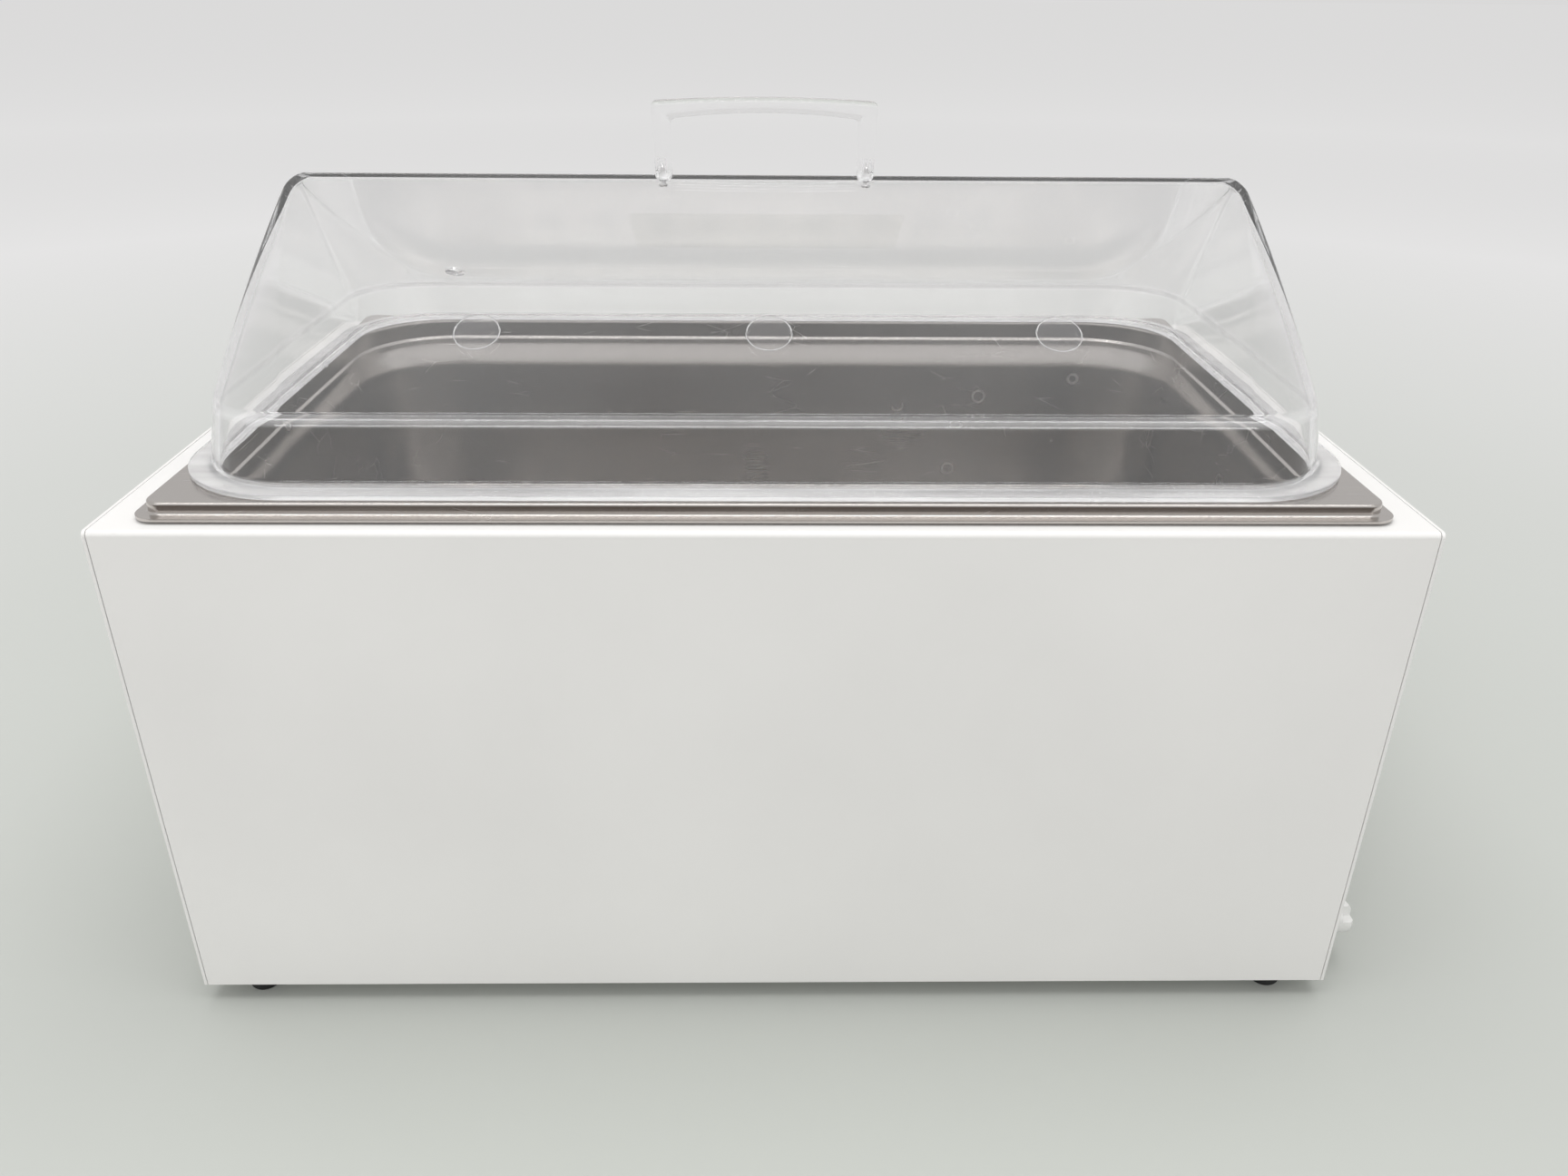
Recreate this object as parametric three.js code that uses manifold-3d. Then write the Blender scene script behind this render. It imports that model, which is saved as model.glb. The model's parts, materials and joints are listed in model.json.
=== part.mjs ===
// Laboratory water bath: a sheet-metal case round a pressed steel tank, with a clear gabled lid.
// Millimetres, +Z up. X runs along the case, with the controls and the drain tap on the +X end.
// The origin is on the bench, under the centre of the whole bath's bounding box.
import * as THREE from "three";
import { mergeVertices } from "three/addons/utils/BufferGeometryUtils.js";
import Module from "manifold-3d";

const wasm = await Module();
wasm.setup();

// ---------------------------------------------------------------- driving dimensions
const GAP = 0.3;
const CASE = {
  length: 562,
  depth: 339,
  height: 247,
  sheet: 1.2,
  fold: 2.5,
  lip: 28,
  panel: 1.5,
  flange: 15,
};
const FOOT = { height: 10, radius: 8.3, inset: 13.5, endInset: 24.5, screw: 2 };
const TANK = { halfX: 250, halfY: 147.5, radius: 52, depth: 150, sheet: 1.2, floorRadius: 22 };
const RIM = { overhang: 15, riser: 10.4, cornerRadius: 10, lift: 1.2, height: 7.8, shoulder: 17, step: 11 };
const LID = {
  wall: 3,
  flangeX: 259.3,
  flangeY: 156,
  flangeRadius: 55,
  flange: 2.5,
  skirtX: 249.5,
  skirtY: 147.8,
  skirtRadius: 47,
  creaseX: 249,
  creaseY: 132.8,
  creaseRadius: 42,
  creaseRise: 35.6,
  ridgeX: 234.5,
  ridgeY: 1.2,
  ridgeRise: 117.3,
  ridgeRound: 6.5,
  coneTaper: 1.25,
  discPitch: 130,
  discRadius: 10.5,
  discY: 90.5,
  labelX: -1,
  labelY: 61.8,
  film: 0.5,
  thermometerX: 188,
  thermometerY: 114.5,
  thermometerRadius: 5.75,
};
const HANDLE = {
  x: -2.1,
  spacing: 100,
  post: 9.4,
  taper: 1.4,
  depth: 11,
  grip: 34,
  bow: 1.8,
  underBow: 2.8,
  bar: 7.8,
  foot: 3,
  screw: 1.5,
  screwHead: 2.2,
};
const PANEL = { y: 0, z: 64, halfY: 95, halfZ: 30, thick: 3, displayY: 8, dialY: -38, rockerY: -74 };
const BUTTON = { radius: 5.5, y: [52, 68, 84], travel: 1, proud: 2 };
const ROCKER = { tilt: 10, pivotDepth: 3.6, halfY: 4.9, halfZ: 7.4 };
const TAP = { inset: 30, rise: 15.6, reach: 21.6, radius: 8.3, bore: 5.5, nozzle: 3.5 };
const INLET = { y: 60, z: 60, plate: 2, drawerReach: 3.3, drawerDrop: 9.5 };
const VENT = { count: 10, pitch: 10, firstY: -120, z: 115, halfWidth: 1.5, halfHeight: 15 };
const DRAIN = { x: 205, y: -95, hole: 8, bore: 4, flange: 12 };
const TRAY = { halfX: 188, halfY: 108, height: 16, hole: 9, pitchX: 40, pitchY: 38, columns: 4, rows: 2 };
const MAT = { halfX: 180, halfY: 100, thick: 2, plate: 1.5 };
const BOARD = { high: 267.6, thick: 1.6, halfZ: 27, lowY: -20, highY: 94 };

const caseBottom = FOOT.height;
const caseTop = caseBottom + CASE.height;
const endX = CASE.length / 2;
const sideY = CASE.depth / 2;
const panelInner = endX - CASE.panel;
const rimTop = caseTop + RIM.height;
const tankFloor = rimTop - TANK.depth;
const tankUnder = tankFloor - TANK.sheet;
const basePlateLow = caseBottom + CASE.sheet + GAP;
const basePlateHigh = basePlateLow + CASE.sheet;
const lidBottom = rimTop + GAP;
const creaseZ = caseTop + LID.creaseRise;
const ridgeZ = caseTop + LID.ridgeRise;
const roofAngle = Math.atan2(ridgeZ - creaseZ, LID.creaseY - LID.ridgeY);
const tapY = TAP.inset - sideY;
const tapZ = caseBottom + TAP.rise;

// ---------------------------------------------------------------- materials
const paint = (name, color, roughness, metalness = 0, opacity = 1) => new THREE.MeshStandardMaterial({
  name, color, roughness, metalness, opacity, transparent: opacity < 1,
});
const WHITE_PAINT = paint("powder_coat_white", 0xd5d4d2, 0.45);
const STEEL = paint("stainless_steel", 0x9c9791, 0.3, 1);
const ZINC = paint("zinc_plate", 0xa5a6a4, 0.4, 1);
const CLEAR = paint("clear_polycarbonate", 0xf0f4f6, 0.05, 0, 0.25);
const RUBBER = paint("black_rubber", 0x161616, 0.8);
const SILICONE = paint("silicone", 0xc9bfae, 0.6);
const WHITE_PLASTIC = paint("white_plastic", 0xe6e6e3, 0.4);
const GREY_PLASTIC = paint("grey_plastic", 0x8c9196, 0.5);
const BLACK_PLASTIC = paint("black_plastic", 0x1a1a1c, 0.45);
const BLUE_PLASTIC = paint("blue_plastic", 0x2c5a8c, 0.45);
const BOARD_GREEN = paint("circuit_board", 0x1f5a38, 0.5);
const ALUMINIUM = paint("aluminium", 0xb6b8ba, 0.4, 1);
const BRASS = paint("brass", 0xb08d4a, 0.35, 1);
const FOAM = paint("insulation_foam", 0xd8cfa8, 0.9);
const HEATER_ORANGE = paint("heater_silicone", 0xa8482a, 0.7);
const LABEL_FILM = paint("label_film", 0xe9edef, 0.3, 0, 0.4);

// ---------------------------------------------------------------- shape helpers
// A rounded rectangle as a ring of points, anticlockwise from +X.
function roundedRing(halfX, halfY, radius, steps = 6) {
  const corners = [[1, 1], [-1, 1], [-1, -1], [1, -1]];
  const points = [];
  corners.forEach(([signX, signY], corner) => {
    for (let step = 0; step <= steps; step += 1) {
      const angle = (corner + step / steps) * Math.PI / 2;
      points.push(new THREE.Vector2(
        signX * (halfX - radius) + radius * Math.cos(angle),
        signY * (halfY - radius) + radius * Math.sin(angle),
      ));
    }
  });
  return points;
}

function circle(radius, sides, x = 0, y = 0) {
  const points = [];
  for (let side = 0; side < sides; side += 1) {
    const angle = 2 * Math.PI * side / sides;
    points.push(new THREE.Vector2(x + radius * Math.cos(angle), y + radius * Math.sin(angle)));
  }
  return points;
}

function moved(points, x, y) {
  return points.map((point) => new THREE.Vector2(point.x + x, point.y + y));
}

// A solid between stacked rings that all have the same number of points, closed by a flat cap at each end.
function loft(rings) {
  const count = rings[0].length;
  const positions = rings.flat().flatMap((point) => [point.x, point.y, point.z]);
  const indices = [];
  for (let level = 0; level + 1 < rings.length; level += 1) {
    for (let side = 0; side < count; side += 1) {
      const next = (side + 1) % count;
      const low = level * count;
      const high = low + count;
      indices.push(low + side, low + next, high + next, low + side, high + next, high + side);
    }
  }
  const last = (rings.length - 1) * count;
  for (let side = 1; side + 1 < count; side += 1) {
    indices.push(0, side + 1, side, last, last + side, last + side + 1);
  }
  const geometry = new THREE.BufferGeometry();
  geometry.setAttribute("position", new THREE.Float32BufferAttribute(positions, 3));
  geometry.setIndex(indices);
  return geometry;
}

function ringAt(halfX, halfY, radius, z, steps = 6) {
  return roundedRing(halfX, halfY, radius, steps).map((point) => new THREE.Vector3(point.x, point.y, z));
}

// A flat outline with holes, given thickness along Z.
function slab(outline, low, high, holes = []) {
  const shape = new THREE.Shape(outline);
  holes.forEach((hole) => shape.holes.push(new THREE.Path(hole)));
  const geometry = new THREE.ExtrudeGeometry(shape, { depth: high - low, bevelEnabled: false });
  return geometry.translate(0, 0, low);
}

// The same along X: the outline's two coordinates are the model's Y and Z.
function slabX(outline, low, high, holes = []) {
  const turn = new THREE.Matrix4().makeBasis(
    new THREE.Vector3(0, 1, 0), new THREE.Vector3(0, 0, 1), new THREE.Vector3(1, 0, 0));
  return slab(outline, low, high, holes).applyMatrix4(turn);
}

function box(low, high) {
  const size = low.map((value, axis) => high[axis] - value);
  const centre = low.map((value, axis) => (high[axis] + value) / 2);
  return new THREE.BoxGeometry(...size).translate(...centre);
}

// A round bar along X or Z. The centre gives its two other coordinates, in X, Y, Z order.
function rodX(radius, low, high, [y, z], sides = 20) {
  return new THREE.CylinderGeometry(radius, radius, high - low, sides)
    .rotateZ(-Math.PI / 2)
    .translate((low + high) / 2, y, z);
}

function rodZ(radius, low, high, [x, y], sides = 20) {
  return new THREE.CylinderGeometry(radius, radius, high - low, sides)
    .rotateX(Math.PI / 2)
    .translate(x, y, (low + high) / 2);
}

// A turned solid about Z from (radius, z) pairs that start and end on the axis, or close on themselves.
function turned(pairs, sides = 16) {
  const profile = pairs.map(([radius, z]) => new THREE.Vector2(radius, z));
  if (THREE.ShapeUtils.isClockWise(profile)) profile.reverse();
  return new THREE.LatheGeometry(profile, sides).rotateX(Math.PI / 2);
}

function tube(points, radius, bore, sides, steps) {
  const path = new THREE.CatmullRomCurve3(points.map((point) => new THREE.Vector3(...point)));
  const shape = new THREE.Shape(circle(radius, sides));
  if (bore > 0) shape.holes.push(new THREE.Path(circle(bore, sides)));
  return new THREE.ExtrudeGeometry(shape, { extrudePath: path, steps, bevelEnabled: false });
}

function solid(geometry) {
  const bare = geometry.clone();
  bare.deleteAttribute("normal");
  bare.deleteAttribute("uv");
  const merged = mergeVertices(bare, 1e-4);
  return new wasm.Manifold(new wasm.Mesh({
    numProp: 3,
    vertProperties: new Float32Array(merged.attributes.position.array),
    triVerts: new Uint32Array(merged.index.array),
  }));
}

function surface(manifold) {
  const mesh = manifold.getMesh();
  const geometry = new THREE.BufferGeometry();
  geometry.setAttribute("position", new THREE.BufferAttribute(mesh.vertProperties, 3));
  geometry.setIndex(new THREE.BufferAttribute(mesh.triVerts, 1));
  return geometry;
}

function join(first, ...others) {
  return surface(others.reduce((body, other) => body.add(solid(other)), solid(first)));
}

function cut(first, ...others) {
  return surface(others.reduce((body, other) => body.subtract(solid(other)), solid(first)));
}

const bath = new THREE.Group();

function place(name, geometry, material, position = [0, 0, 0], rotation = [0, 0, 0]) {
  const mesh = new THREE.Mesh(geometry, material);
  mesh.name = name;
  mesh.position.set(...position);
  mesh.rotation.set(...rotation);
  bath.add(mesh);
  return mesh;
}

// ---------------------------------------------------------------- case
function arc(centreX, centreY, radius, from, to, steps) {
  const points = [];
  for (let step = 0; step <= steps; step += 1) {
    const angle = THREE.MathUtils.degToRad(from + (to - from) * step / steps);
    points.push(new THREE.Vector2(centreX + radius * Math.cos(angle), centreY + radius * Math.sin(angle)));
  }
  return points;
}

// The same points on the other side of the Y axis, in the order that carries the outline on.
function mirrored(points) {
  return points.map((point) => new THREE.Vector2(-point.x, point.y)).reverse();
}

const footX = endX - FOOT.endInset;
const footY = sideY - FOOT.inset;
const footPlaces = {
  front_left: [-footX, -footY],
  front_right: [footX, -footY],
  back_left: [-footX, footY],
  back_right: [footX, footY],
};
const footHole = FOOT.screw + GAP;

function footDrills(low, high) {
  return Object.values(footPlaces).map((spot) => rodZ(footHole, low, high, spot, 10));
}

// The outline that clears the tank's wall where it passes through the case.
function tankClearance(steps) {
  const clear = 4;
  return roundedRing(TANK.halfX + clear, TANK.halfY + clear, TANK.radius + clear, steps);
}

function caseWrap() {
  const innerY = sideY - CASE.sheet;
  const lipEnd = sideY - CASE.lip;
  const foldY = sideY - CASE.fold;
  const foldZ = caseTop - CASE.fold;
  const outside = [
    new THREE.Vector2(lipEnd, caseBottom),
    new THREE.Vector2(sideY, caseBottom),
    ...arc(foldY, foldZ, CASE.fold, 0, 90, 4),
  ];
  const inside = [
    ...arc(foldY, foldZ, CASE.fold - CASE.sheet, 90, 0, 4),
    new THREE.Vector2(innerY, caseBottom + CASE.sheet),
    new THREE.Vector2(lipEnd, caseBottom + CASE.sheet),
  ];
  const section = [...outside, ...mirrored(outside), ...mirrored(inside), ...inside];
  const reach = panelInner - GAP;
  const opening = slab(tankClearance(6), caseTop - 5, caseTop + 5);
  return cut(slabX(section, -reach, reach), opening, ...footDrills(0, caseBottom + 5));
}

// An end panel is a plate with a folded flange that tucks inside the wrap. Side is +1 or -1.
function endPanel(side, cutters) {
  const half = [
    new THREE.Vector2(sideY, caseBottom),
    ...arc(sideY - CASE.fold, caseTop - CASE.fold, CASE.fold, 0, 90, 4),
  ];
  const clear = GAP + 0.1;
  const outerY = sideY - CASE.sheet - clear;
  const low = basePlateHigh + clear;
  const high = caseTop - CASE.sheet - clear;
  const middle = (low + high) / 2;
  const height = (high - low) / 2;
  const outer = moved(roundedRing(outerY, height, 2, 2), 0, middle);
  const inner = moved(roundedRing(outerY - CASE.sheet, height - CASE.sheet, 1, 2), 0, middle);
  const flangeEnd = panelInner - CASE.flange;
  const spans = side > 0
    ? [[panelInner, endX], [flangeEnd, panelInner + 0.5]]
    : [[-endX, -panelInner], [-panelInner - 0.5, -flangeEnd]];
  const plate = slabX([...half, ...mirrored(half)], ...spans[0]);
  const flange = slabX(outer, ...spans[1], [inner]);
  return cut(join(plate, flange), ...cutters);
}

function basePlate() {
  const holes = [];
  for (const y of [-60, 60]) {
    for (let x = -150; x <= 60; x += 30) holes.push(moved(roundedRing(2.5, 22, 2.5, 2), x, y));
  }
  const outline = roundedRing(panelInner - GAP, sideY - CASE.sheet - GAP, 1, 1);
  const plate = slab(outline, basePlateLow, basePlateHigh, holes);
  return cut(plate, ...footDrills(caseBottom, basePlateHigh + 5));
}

const panelCutters = [
  box([panelInner - 5, PANEL.y - 89, PANEL.z - 24], [endX + 5, PANEL.y + 92, PANEL.z + 24]),
  rodX(9, panelInner - 5, endX + 5, [tapY, tapZ]),
];
const inletCutters = [
  box([-endX - 5, INLET.y - 14, INLET.z - 17], [5 - panelInner, INLET.y + 14, INLET.z + 17]),
];
for (let index = 0; index < VENT.count; index += 1) {
  const slot = roundedRing(VENT.halfWidth, VENT.halfHeight, VENT.halfWidth, 2);
  const slotY = VENT.firstY + index * VENT.pitch;
  inletCutters.push(slabX(moved(slot, slotY, VENT.z), -endX - 5, 5 - panelInner));
}

place("case_wrap", caseWrap(), WHITE_PAINT);
place("end_panel_right", endPanel(1, panelCutters), WHITE_PAINT);
place("end_panel_left", endPanel(-1, inletCutters), WHITE_PAINT);
place("base_plate", basePlate(), ZINC);

// ---------------------------------------------------------------- feet
const footTop = FOOT.height - GAP;
const recess = 4.5;
const footShape = turned([
  [footHole, footTop], [footHole, recess], [4.4, recess], [4.4, 0], [6.2, 0], [7.6, 1.4],
  [FOOT.radius, 6], [FOOT.radius, footTop], [footHole, footTop],
]);
const screwShape = turned([
  [0, recess - 2.4], [3.6, recess - 2.4], [3.6, recess - GAP], [FOOT.screw, recess - GAP],
  [FOOT.screw, basePlateHigh + 4], [0, basePlateHigh + 4],
], 10);
for (const [corner, [x, y]] of Object.entries(footPlaces)) {
  place(`foot_${corner}`, footShape, RUBBER, [x, y, 0]);
  place(`foot_screw_${corner}`, screwShape, ZINC, [x, y, 0]);
}

// ---------------------------------------------------------------- tank
// The inner face as [outward from the neck, z, corner radius], from the floor to the rim's edge.
const flangeTop = caseTop + RIM.lift + TANK.sheet;
const floorInset = 8;
const tankFace = [
  ...arc(-floorInset - TANK.floorRadius, tankFloor + TANK.floorRadius, TANK.floorRadius, -90, 0, 4)
    .map((point) => [point.x, point.y, TANK.radius + point.x]),
  [-5, rimTop - RIM.shoulder - 9, TANK.radius - 5],
  [-4.2, rimTop - RIM.shoulder - 4, TANK.radius - 4],
  [-1.5, rimTop - RIM.shoulder, TANK.radius - 1],
  [-1.1, rimTop - RIM.step - 0.8, TANK.radius - 1],
  [0, rimTop - RIM.step, TANK.radius],
  [0, rimTop - 3, TANK.radius],
  [0.9, rimTop - 0.8, TANK.radius + 1],
  [3, rimTop, TANK.radius + 3],
  [RIM.riser - 1.4, rimTop, RIM.cornerRadius - 4],
  [RIM.riser, rimTop - 1.4, RIM.cornerRadius - 3],
  [RIM.riser, flangeTop + 1.2, RIM.cornerRadius - 3],
  [RIM.riser + 1.2, flangeTop, RIM.cornerRadius - 2],
  [RIM.overhang, flangeTop, RIM.cornerRadius],
];

// The outer face lies one sheet below and outside: each point moves along the mean of its two edge normals.
function offsetFace(face, distance) {
  const normals = face.slice(1).map(([out, z], index) => {
    const along = new THREE.Vector2(out - face[index][0], z - face[index][1]).normalize();
    return new THREE.Vector2(along.y, -along.x);
  });
  return face.map(([out, z, radius], index) => {
    const before = normals[Math.max(index - 1, 0)];
    const after = normals[Math.min(index, normals.length - 1)];
    const mean = before.clone().add(after).normalize();
    const reach = distance / mean.dot(after);
    return [out + mean.x * reach, z + mean.y * reach, radius];
  });
}

function tankShell() {
  const toRing = ([out, z, radius]) => ringAt(TANK.halfX + out, TANK.halfY + out, radius, z, 7);
  const outside = offsetFace(tankFace, TANK.sheet).map(toRing);
  const inside = tankFace.map(toRing).reverse();
  const shell = loft([...outside, ...inside]);
  const drainHole = rodZ(DRAIN.hole, tankUnder - 5, tankFloor + 5, [DRAIN.x, DRAIN.y], 16);
  return cut(shell, drainHole);
}

place("tank", tankShell(), STEEL);

function tankGasket() {
  const outer = roundedRing(TANK.halfX + 11, TANK.halfY + 11, 12);
  const inner = roundedRing(TANK.halfX + 5.5, TANK.halfY + 5.5, TANK.radius + 5);
  return slab(outer, caseTop + 0.2, caseTop + RIM.lift - 0.2, [inner]);
}

place("tank_gasket", tankGasket(), SILICONE);
place("tank_insulation", slab(roundedRing(272, 163, 66, 4), 128, 246, [tankClearance(4)]), FOAM);

// A perforated tray stands on the tank floor and keeps vessels off the heated steel.
function baseTray() {
  const low = tankFloor + GAP;
  const high = low + TRAY.height;
  const holes = [];
  for (let column = -TRAY.columns; column <= TRAY.columns; column += 1) {
    for (let row = -TRAY.rows; row <= TRAY.rows; row += 1) {
      holes.push(circle(TRAY.hole, 8, column * TRAY.pitchX, row * TRAY.pitchY));
    }
  }
  const top = slab(roundedRing(TRAY.halfX, TRAY.halfY, 6, 2), high - TANK.sheet, high, holes);
  const legY = TRAY.halfY - 8;
  const rightLeg = box([TRAY.halfX - TANK.sheet, -legY, low], [TRAY.halfX, legY, high - 0.6]);
  const leftLeg = box([-TRAY.halfX, -legY, low], [TANK.sheet - TRAY.halfX, legY, high - 0.6]);
  return join(top, rightLeg, leftLeg);
}

place("base_tray", baseTray(), STEEL);

// ---------------------------------------------------------------- heating and sensing under the tank
const matTop = tankUnder - GAP;
const matLow = matTop - MAT.thick;
const plateHigh = matLow - GAP;
const probeX = 198;
const probeY = 25;
const probeZ = matTop - 2.5;
place("heater_mat", slab(roundedRing(MAT.halfX, MAT.halfY, 10, 2), matLow, matTop), HEATER_ORANGE);
place("heater_clamp_plate",
  slab(roundedRing(MAT.halfX + 4, MAT.halfY - 4, 6, 2), plateHigh - MAT.plate, plateHigh), ALUMINIUM);
place("temperature_probe", new THREE.CylinderGeometry(2.5, 2.5, 70, 12), STEEL, [probeX, probeY, probeZ]);
place("probe_clip", cut(
  box([probeX - 6, probeY - 10, probeZ - 4], [probeX + 6, probeY + 8, matTop]),
  box([probeX - 2.8, probeY - 15, probeZ - 2.8], [probeX + 2.8, probeY + 13, matTop + 5])), STEEL);
place("thermal_cutout", turned([[0, 0], [5, 0], [5, 2], [8, 2], [8, 7], [0, 7]], 14), BLACK_PLASTIC,
  [probeX, 85, matTop - 7]);
const leadPath = [[186, -40, matTop - 3], [200, -42, 100], [196, -40, 60], [170, -30, 45]];
place("heater_lead", tube(leadPath, 1.6, 0, 8, 12), RUBBER);

// ---------------------------------------------------------------- electronics on the base plate
const shelfZ = basePlateHigh + GAP;

function transformer() {
  const core = box([120, 60, shelfZ], [174, 106, shelfZ + 40]);
  const winding = box([132, 50, shelfZ + 6], [162, 116, shelfZ + 34]);
  return join(core, winding);
}

function heatsink() {
  const fins = [];
  for (let y = -52; y <= -2; y += 10) fins.push(box([124, y, shelfZ + 3], [176, y + 2, shelfZ + 24]));
  return join(box([124, -52, shelfZ], [176, 0, shelfZ + 4]), ...fins);
}

place("mains_transformer", transformer(), BLACK_PLASTIC);
place("triac_heatsink", heatsink(), ALUMINIUM);

// ---------------------------------------------------------------- control panel on the +X end
const fasciaLow = endX + GAP;
const fasciaHigh = fasciaLow + PANEL.thick;
const windowPocket = { halfY: 28, halfZ: 14, depth: 1.6 };

// A rounded outline on the panel, centred at a Y beside its middle height.
function panelOutline(y, halfY, halfZ, radius, steps) {
  return moved(roundedRing(halfY, halfZ, radius, steps), y, PANEL.z);
}

function fascia() {
  const holes = BUTTON.y.map((y) => circle(BUTTON.radius + 0.4, 16, y, PANEL.z));
  holes.push(circle(4, 12, PANEL.dialY, PANEL.z));
  holes.push(panelOutline(PANEL.rockerY, 7, 10, 1, 1));
  holes.push(panelOutline(PANEL.displayY, 24, 10, 1, 1));
  const plate = slabX(panelOutline(PANEL.y, PANEL.halfY, PANEL.halfZ, 5, 4), fasciaLow, fasciaHigh, holes);
  const pocket = panelOutline(PANEL.displayY, windowPocket.halfY, windowPocket.halfZ, 2, 2);
  return cut(plate, slabX(pocket, fasciaHigh - windowPocket.depth, fasciaHigh + 5));
}

function displayWindow() {
  const edge = panelOutline(PANEL.displayY, windowPocket.halfY - GAP, windowPocket.halfZ - GAP, 2, 2);
  return slabX(edge, fasciaHigh - windowPocket.depth + GAP, fasciaHigh - 0.2);
}

place("control_fascia", fascia(), GREY_PLASTIC);
place("display_window", displayWindow(), BLACK_PLASTIC);
place("display_module", box(
  [BOARD.high + GAP, PANEL.displayY - 25, PANEL.z - 11],
  [endX - GAP, PANEL.displayY + 25, PANEL.z + 11]), BLACK_PLASTIC);
place("control_board", box(
  [BOARD.high - BOARD.thick, BOARD.lowY, PANEL.z - BOARD.halfZ],
  [BOARD.high, BOARD.highY, PANEL.z + BOARD.halfZ]), BOARD_GREEN);

const buttonBack = 276.5;
const buttonShape = join(
  rodX(BUTTON.radius, buttonBack, fasciaHigh + BUTTON.proud, [0, 0]),
  rodX(BUTTON.radius + 1.4, fasciaLow - GAP - 1.8, fasciaLow - GAP, [0, 0]));
const switchShape = join(
  box([BOARD.high + GAP, -3, -3], [BOARD.high + 6, 3, 3]),
  rodX(1.7, BOARD.high + 5, buttonBack - BUTTON.travel - GAP, [0, 0], 10));
["set", "down", "up"].forEach((role, index) => {
  place(`button_${role}`, buttonShape, BLUE_PLASTIC, [0, BUTTON.y[index], PANEL.z]);
  place(`button_switch_${role}`, switchShape, BLACK_PLASTIC, [0, BUTTON.y[index], PANEL.z]);
});

function rockerHousing() {
  const body = slabX(panelOutline(PANEL.rockerY, 6.6, 9.6, 0.8, 2), 266, fasciaHigh + 0.6);
  const bezel = slabX(panelOutline(PANEL.rockerY, 9, 12, 1.5, 2), fasciaHigh + GAP, fasciaHigh + 1.8);
  const well = slabX(panelOutline(PANEL.rockerY, 5.3, 8.6, 0.5, 2), 274, fasciaHigh + 5);
  return cut(join(body, bezel), well);
}

// The rocker's side view about its pivot, with a shallow V for the finger.
function rocker() {
  const sideView = [[-3, -4], [-3, 4], [5, ROCKER.halfZ], [3.4, 0], [5, -ROCKER.halfZ]];
  const shape = new THREE.Shape(sideView.map(([x, z]) => new THREE.Vector2(x, z)));
  return new THREE.ExtrudeGeometry(shape, { depth: 2 * ROCKER.halfY, bevelEnabled: false })
    .translate(0, 0, -ROCKER.halfY)
    .rotateX(Math.PI / 2);
}

const rockerPivot = fasciaHigh - ROCKER.pivotDepth + 1.8;
place("power_switch_housing", rockerHousing(), BLACK_PLASTIC);
place("power_rocker", rocker(), BLACK_PLASTIC,
  [rockerPivot, PANEL.rockerY, PANEL.z], [0, THREE.MathUtils.degToRad(ROCKER.tilt), 0]);

const dialSpot = [PANEL.dialY, PANEL.z];
const shaftEnd = 292;

function dial() {
  const skirt = rodX(12, fasciaHigh + 0.5, fasciaHigh + 3, dialSpot, 24);
  const grip = rodX(9.5, fasciaHigh + 2, fasciaHigh + 11, dialSpot, 12);
  const bore = rodX(3 + GAP, fasciaHigh, shaftEnd + GAP, dialSpot, 12);
  const pointer = box(
    [fasciaHigh + 10, PANEL.dialY - 0.7, PANEL.z + 2], [fasciaHigh + 12, PANEL.dialY + 0.7, PANEL.z + 12]);
  return cut(join(skirt, grip), bore, pointer);
}

place("thermostat_body", join(rodX(14, 258, 276, dialSpot), rodX(3, 275, shaftEnd, dialSpot, 12)), ZINC);
place("thermostat_dial", dial(), BLACK_PLASTIC);

// ---------------------------------------------------------------- drain: tank fitting, hose and tap
const stem = DRAIN.hole - 0.4;
const sealLow = tankUnder - 2.3;
const nutHigh = sealLow - GAP;
place("drain_fitting", turned([
  [DRAIN.bore, tankFloor + 2.2],
  [DRAIN.flange, tankFloor + GAP],
  [stem, tankFloor + GAP],
  [stem, tankUnder - 12],
  [5, tankUnder - 14],
  [5, tankUnder - 26],
  [DRAIN.bore, tankUnder - 26],
  [DRAIN.bore, tankFloor + 2.2],
]), BRASS, [DRAIN.x, DRAIN.y, 0]);
place("drain_fitting_seal",
  slab(circle(DRAIN.flange, 16), sealLow, tankUnder - GAP, [circle(DRAIN.hole, 16)]), SILICONE,
  [DRAIN.x, DRAIN.y, 0]);
place("drain_fitting_nut",
  slab(circle(DRAIN.flange + 1, 6), nutHigh - 5.4, nutHigh, [circle(DRAIN.hole, 16)]), BRASS,
  [DRAIN.x, DRAIN.y, 0]);
const hosePath = [
  [DRAIN.x, DRAIN.y, tankUnder - 16],
  [DRAIN.x, DRAIN.y, tankUnder - 30],
  [DRAIN.x + 4, DRAIN.y - 8, 55],
  [DRAIN.x + 24, tapY + 6, 32],
  [250, tapY, tapZ],
  [262, tapY, tapZ],
];
place("drain_hose", tube(hosePath, 7.6, 5.8, 10, 16), SILICONE);

const tapSpot = [tapY, tapZ];
const knobFace = endX + TAP.reach;
const knobBack = knobFace - 9.3;
const nozzleX = knobBack - 5.4;
function tapBody() {
  const body = join(
    rodX(12, endX + GAP, endX + GAP + 3, tapSpot),
    rodX(7.6, 262.5, knobBack - GAP, tapSpot),
    rodX(5, 252, 263, tapSpot, 12),
    rodZ(4.8, 8, tapZ, [nozzleX, tapY], 16));
  return cut(body,
    rodX(TAP.bore, 275, knobBack + 5, tapSpot, 16),
    rodX(3.5, 250, 276, tapSpot, 12),
    rodZ(TAP.nozzle, 5, tapZ, [nozzleX, tapY], 16));
}

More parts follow.
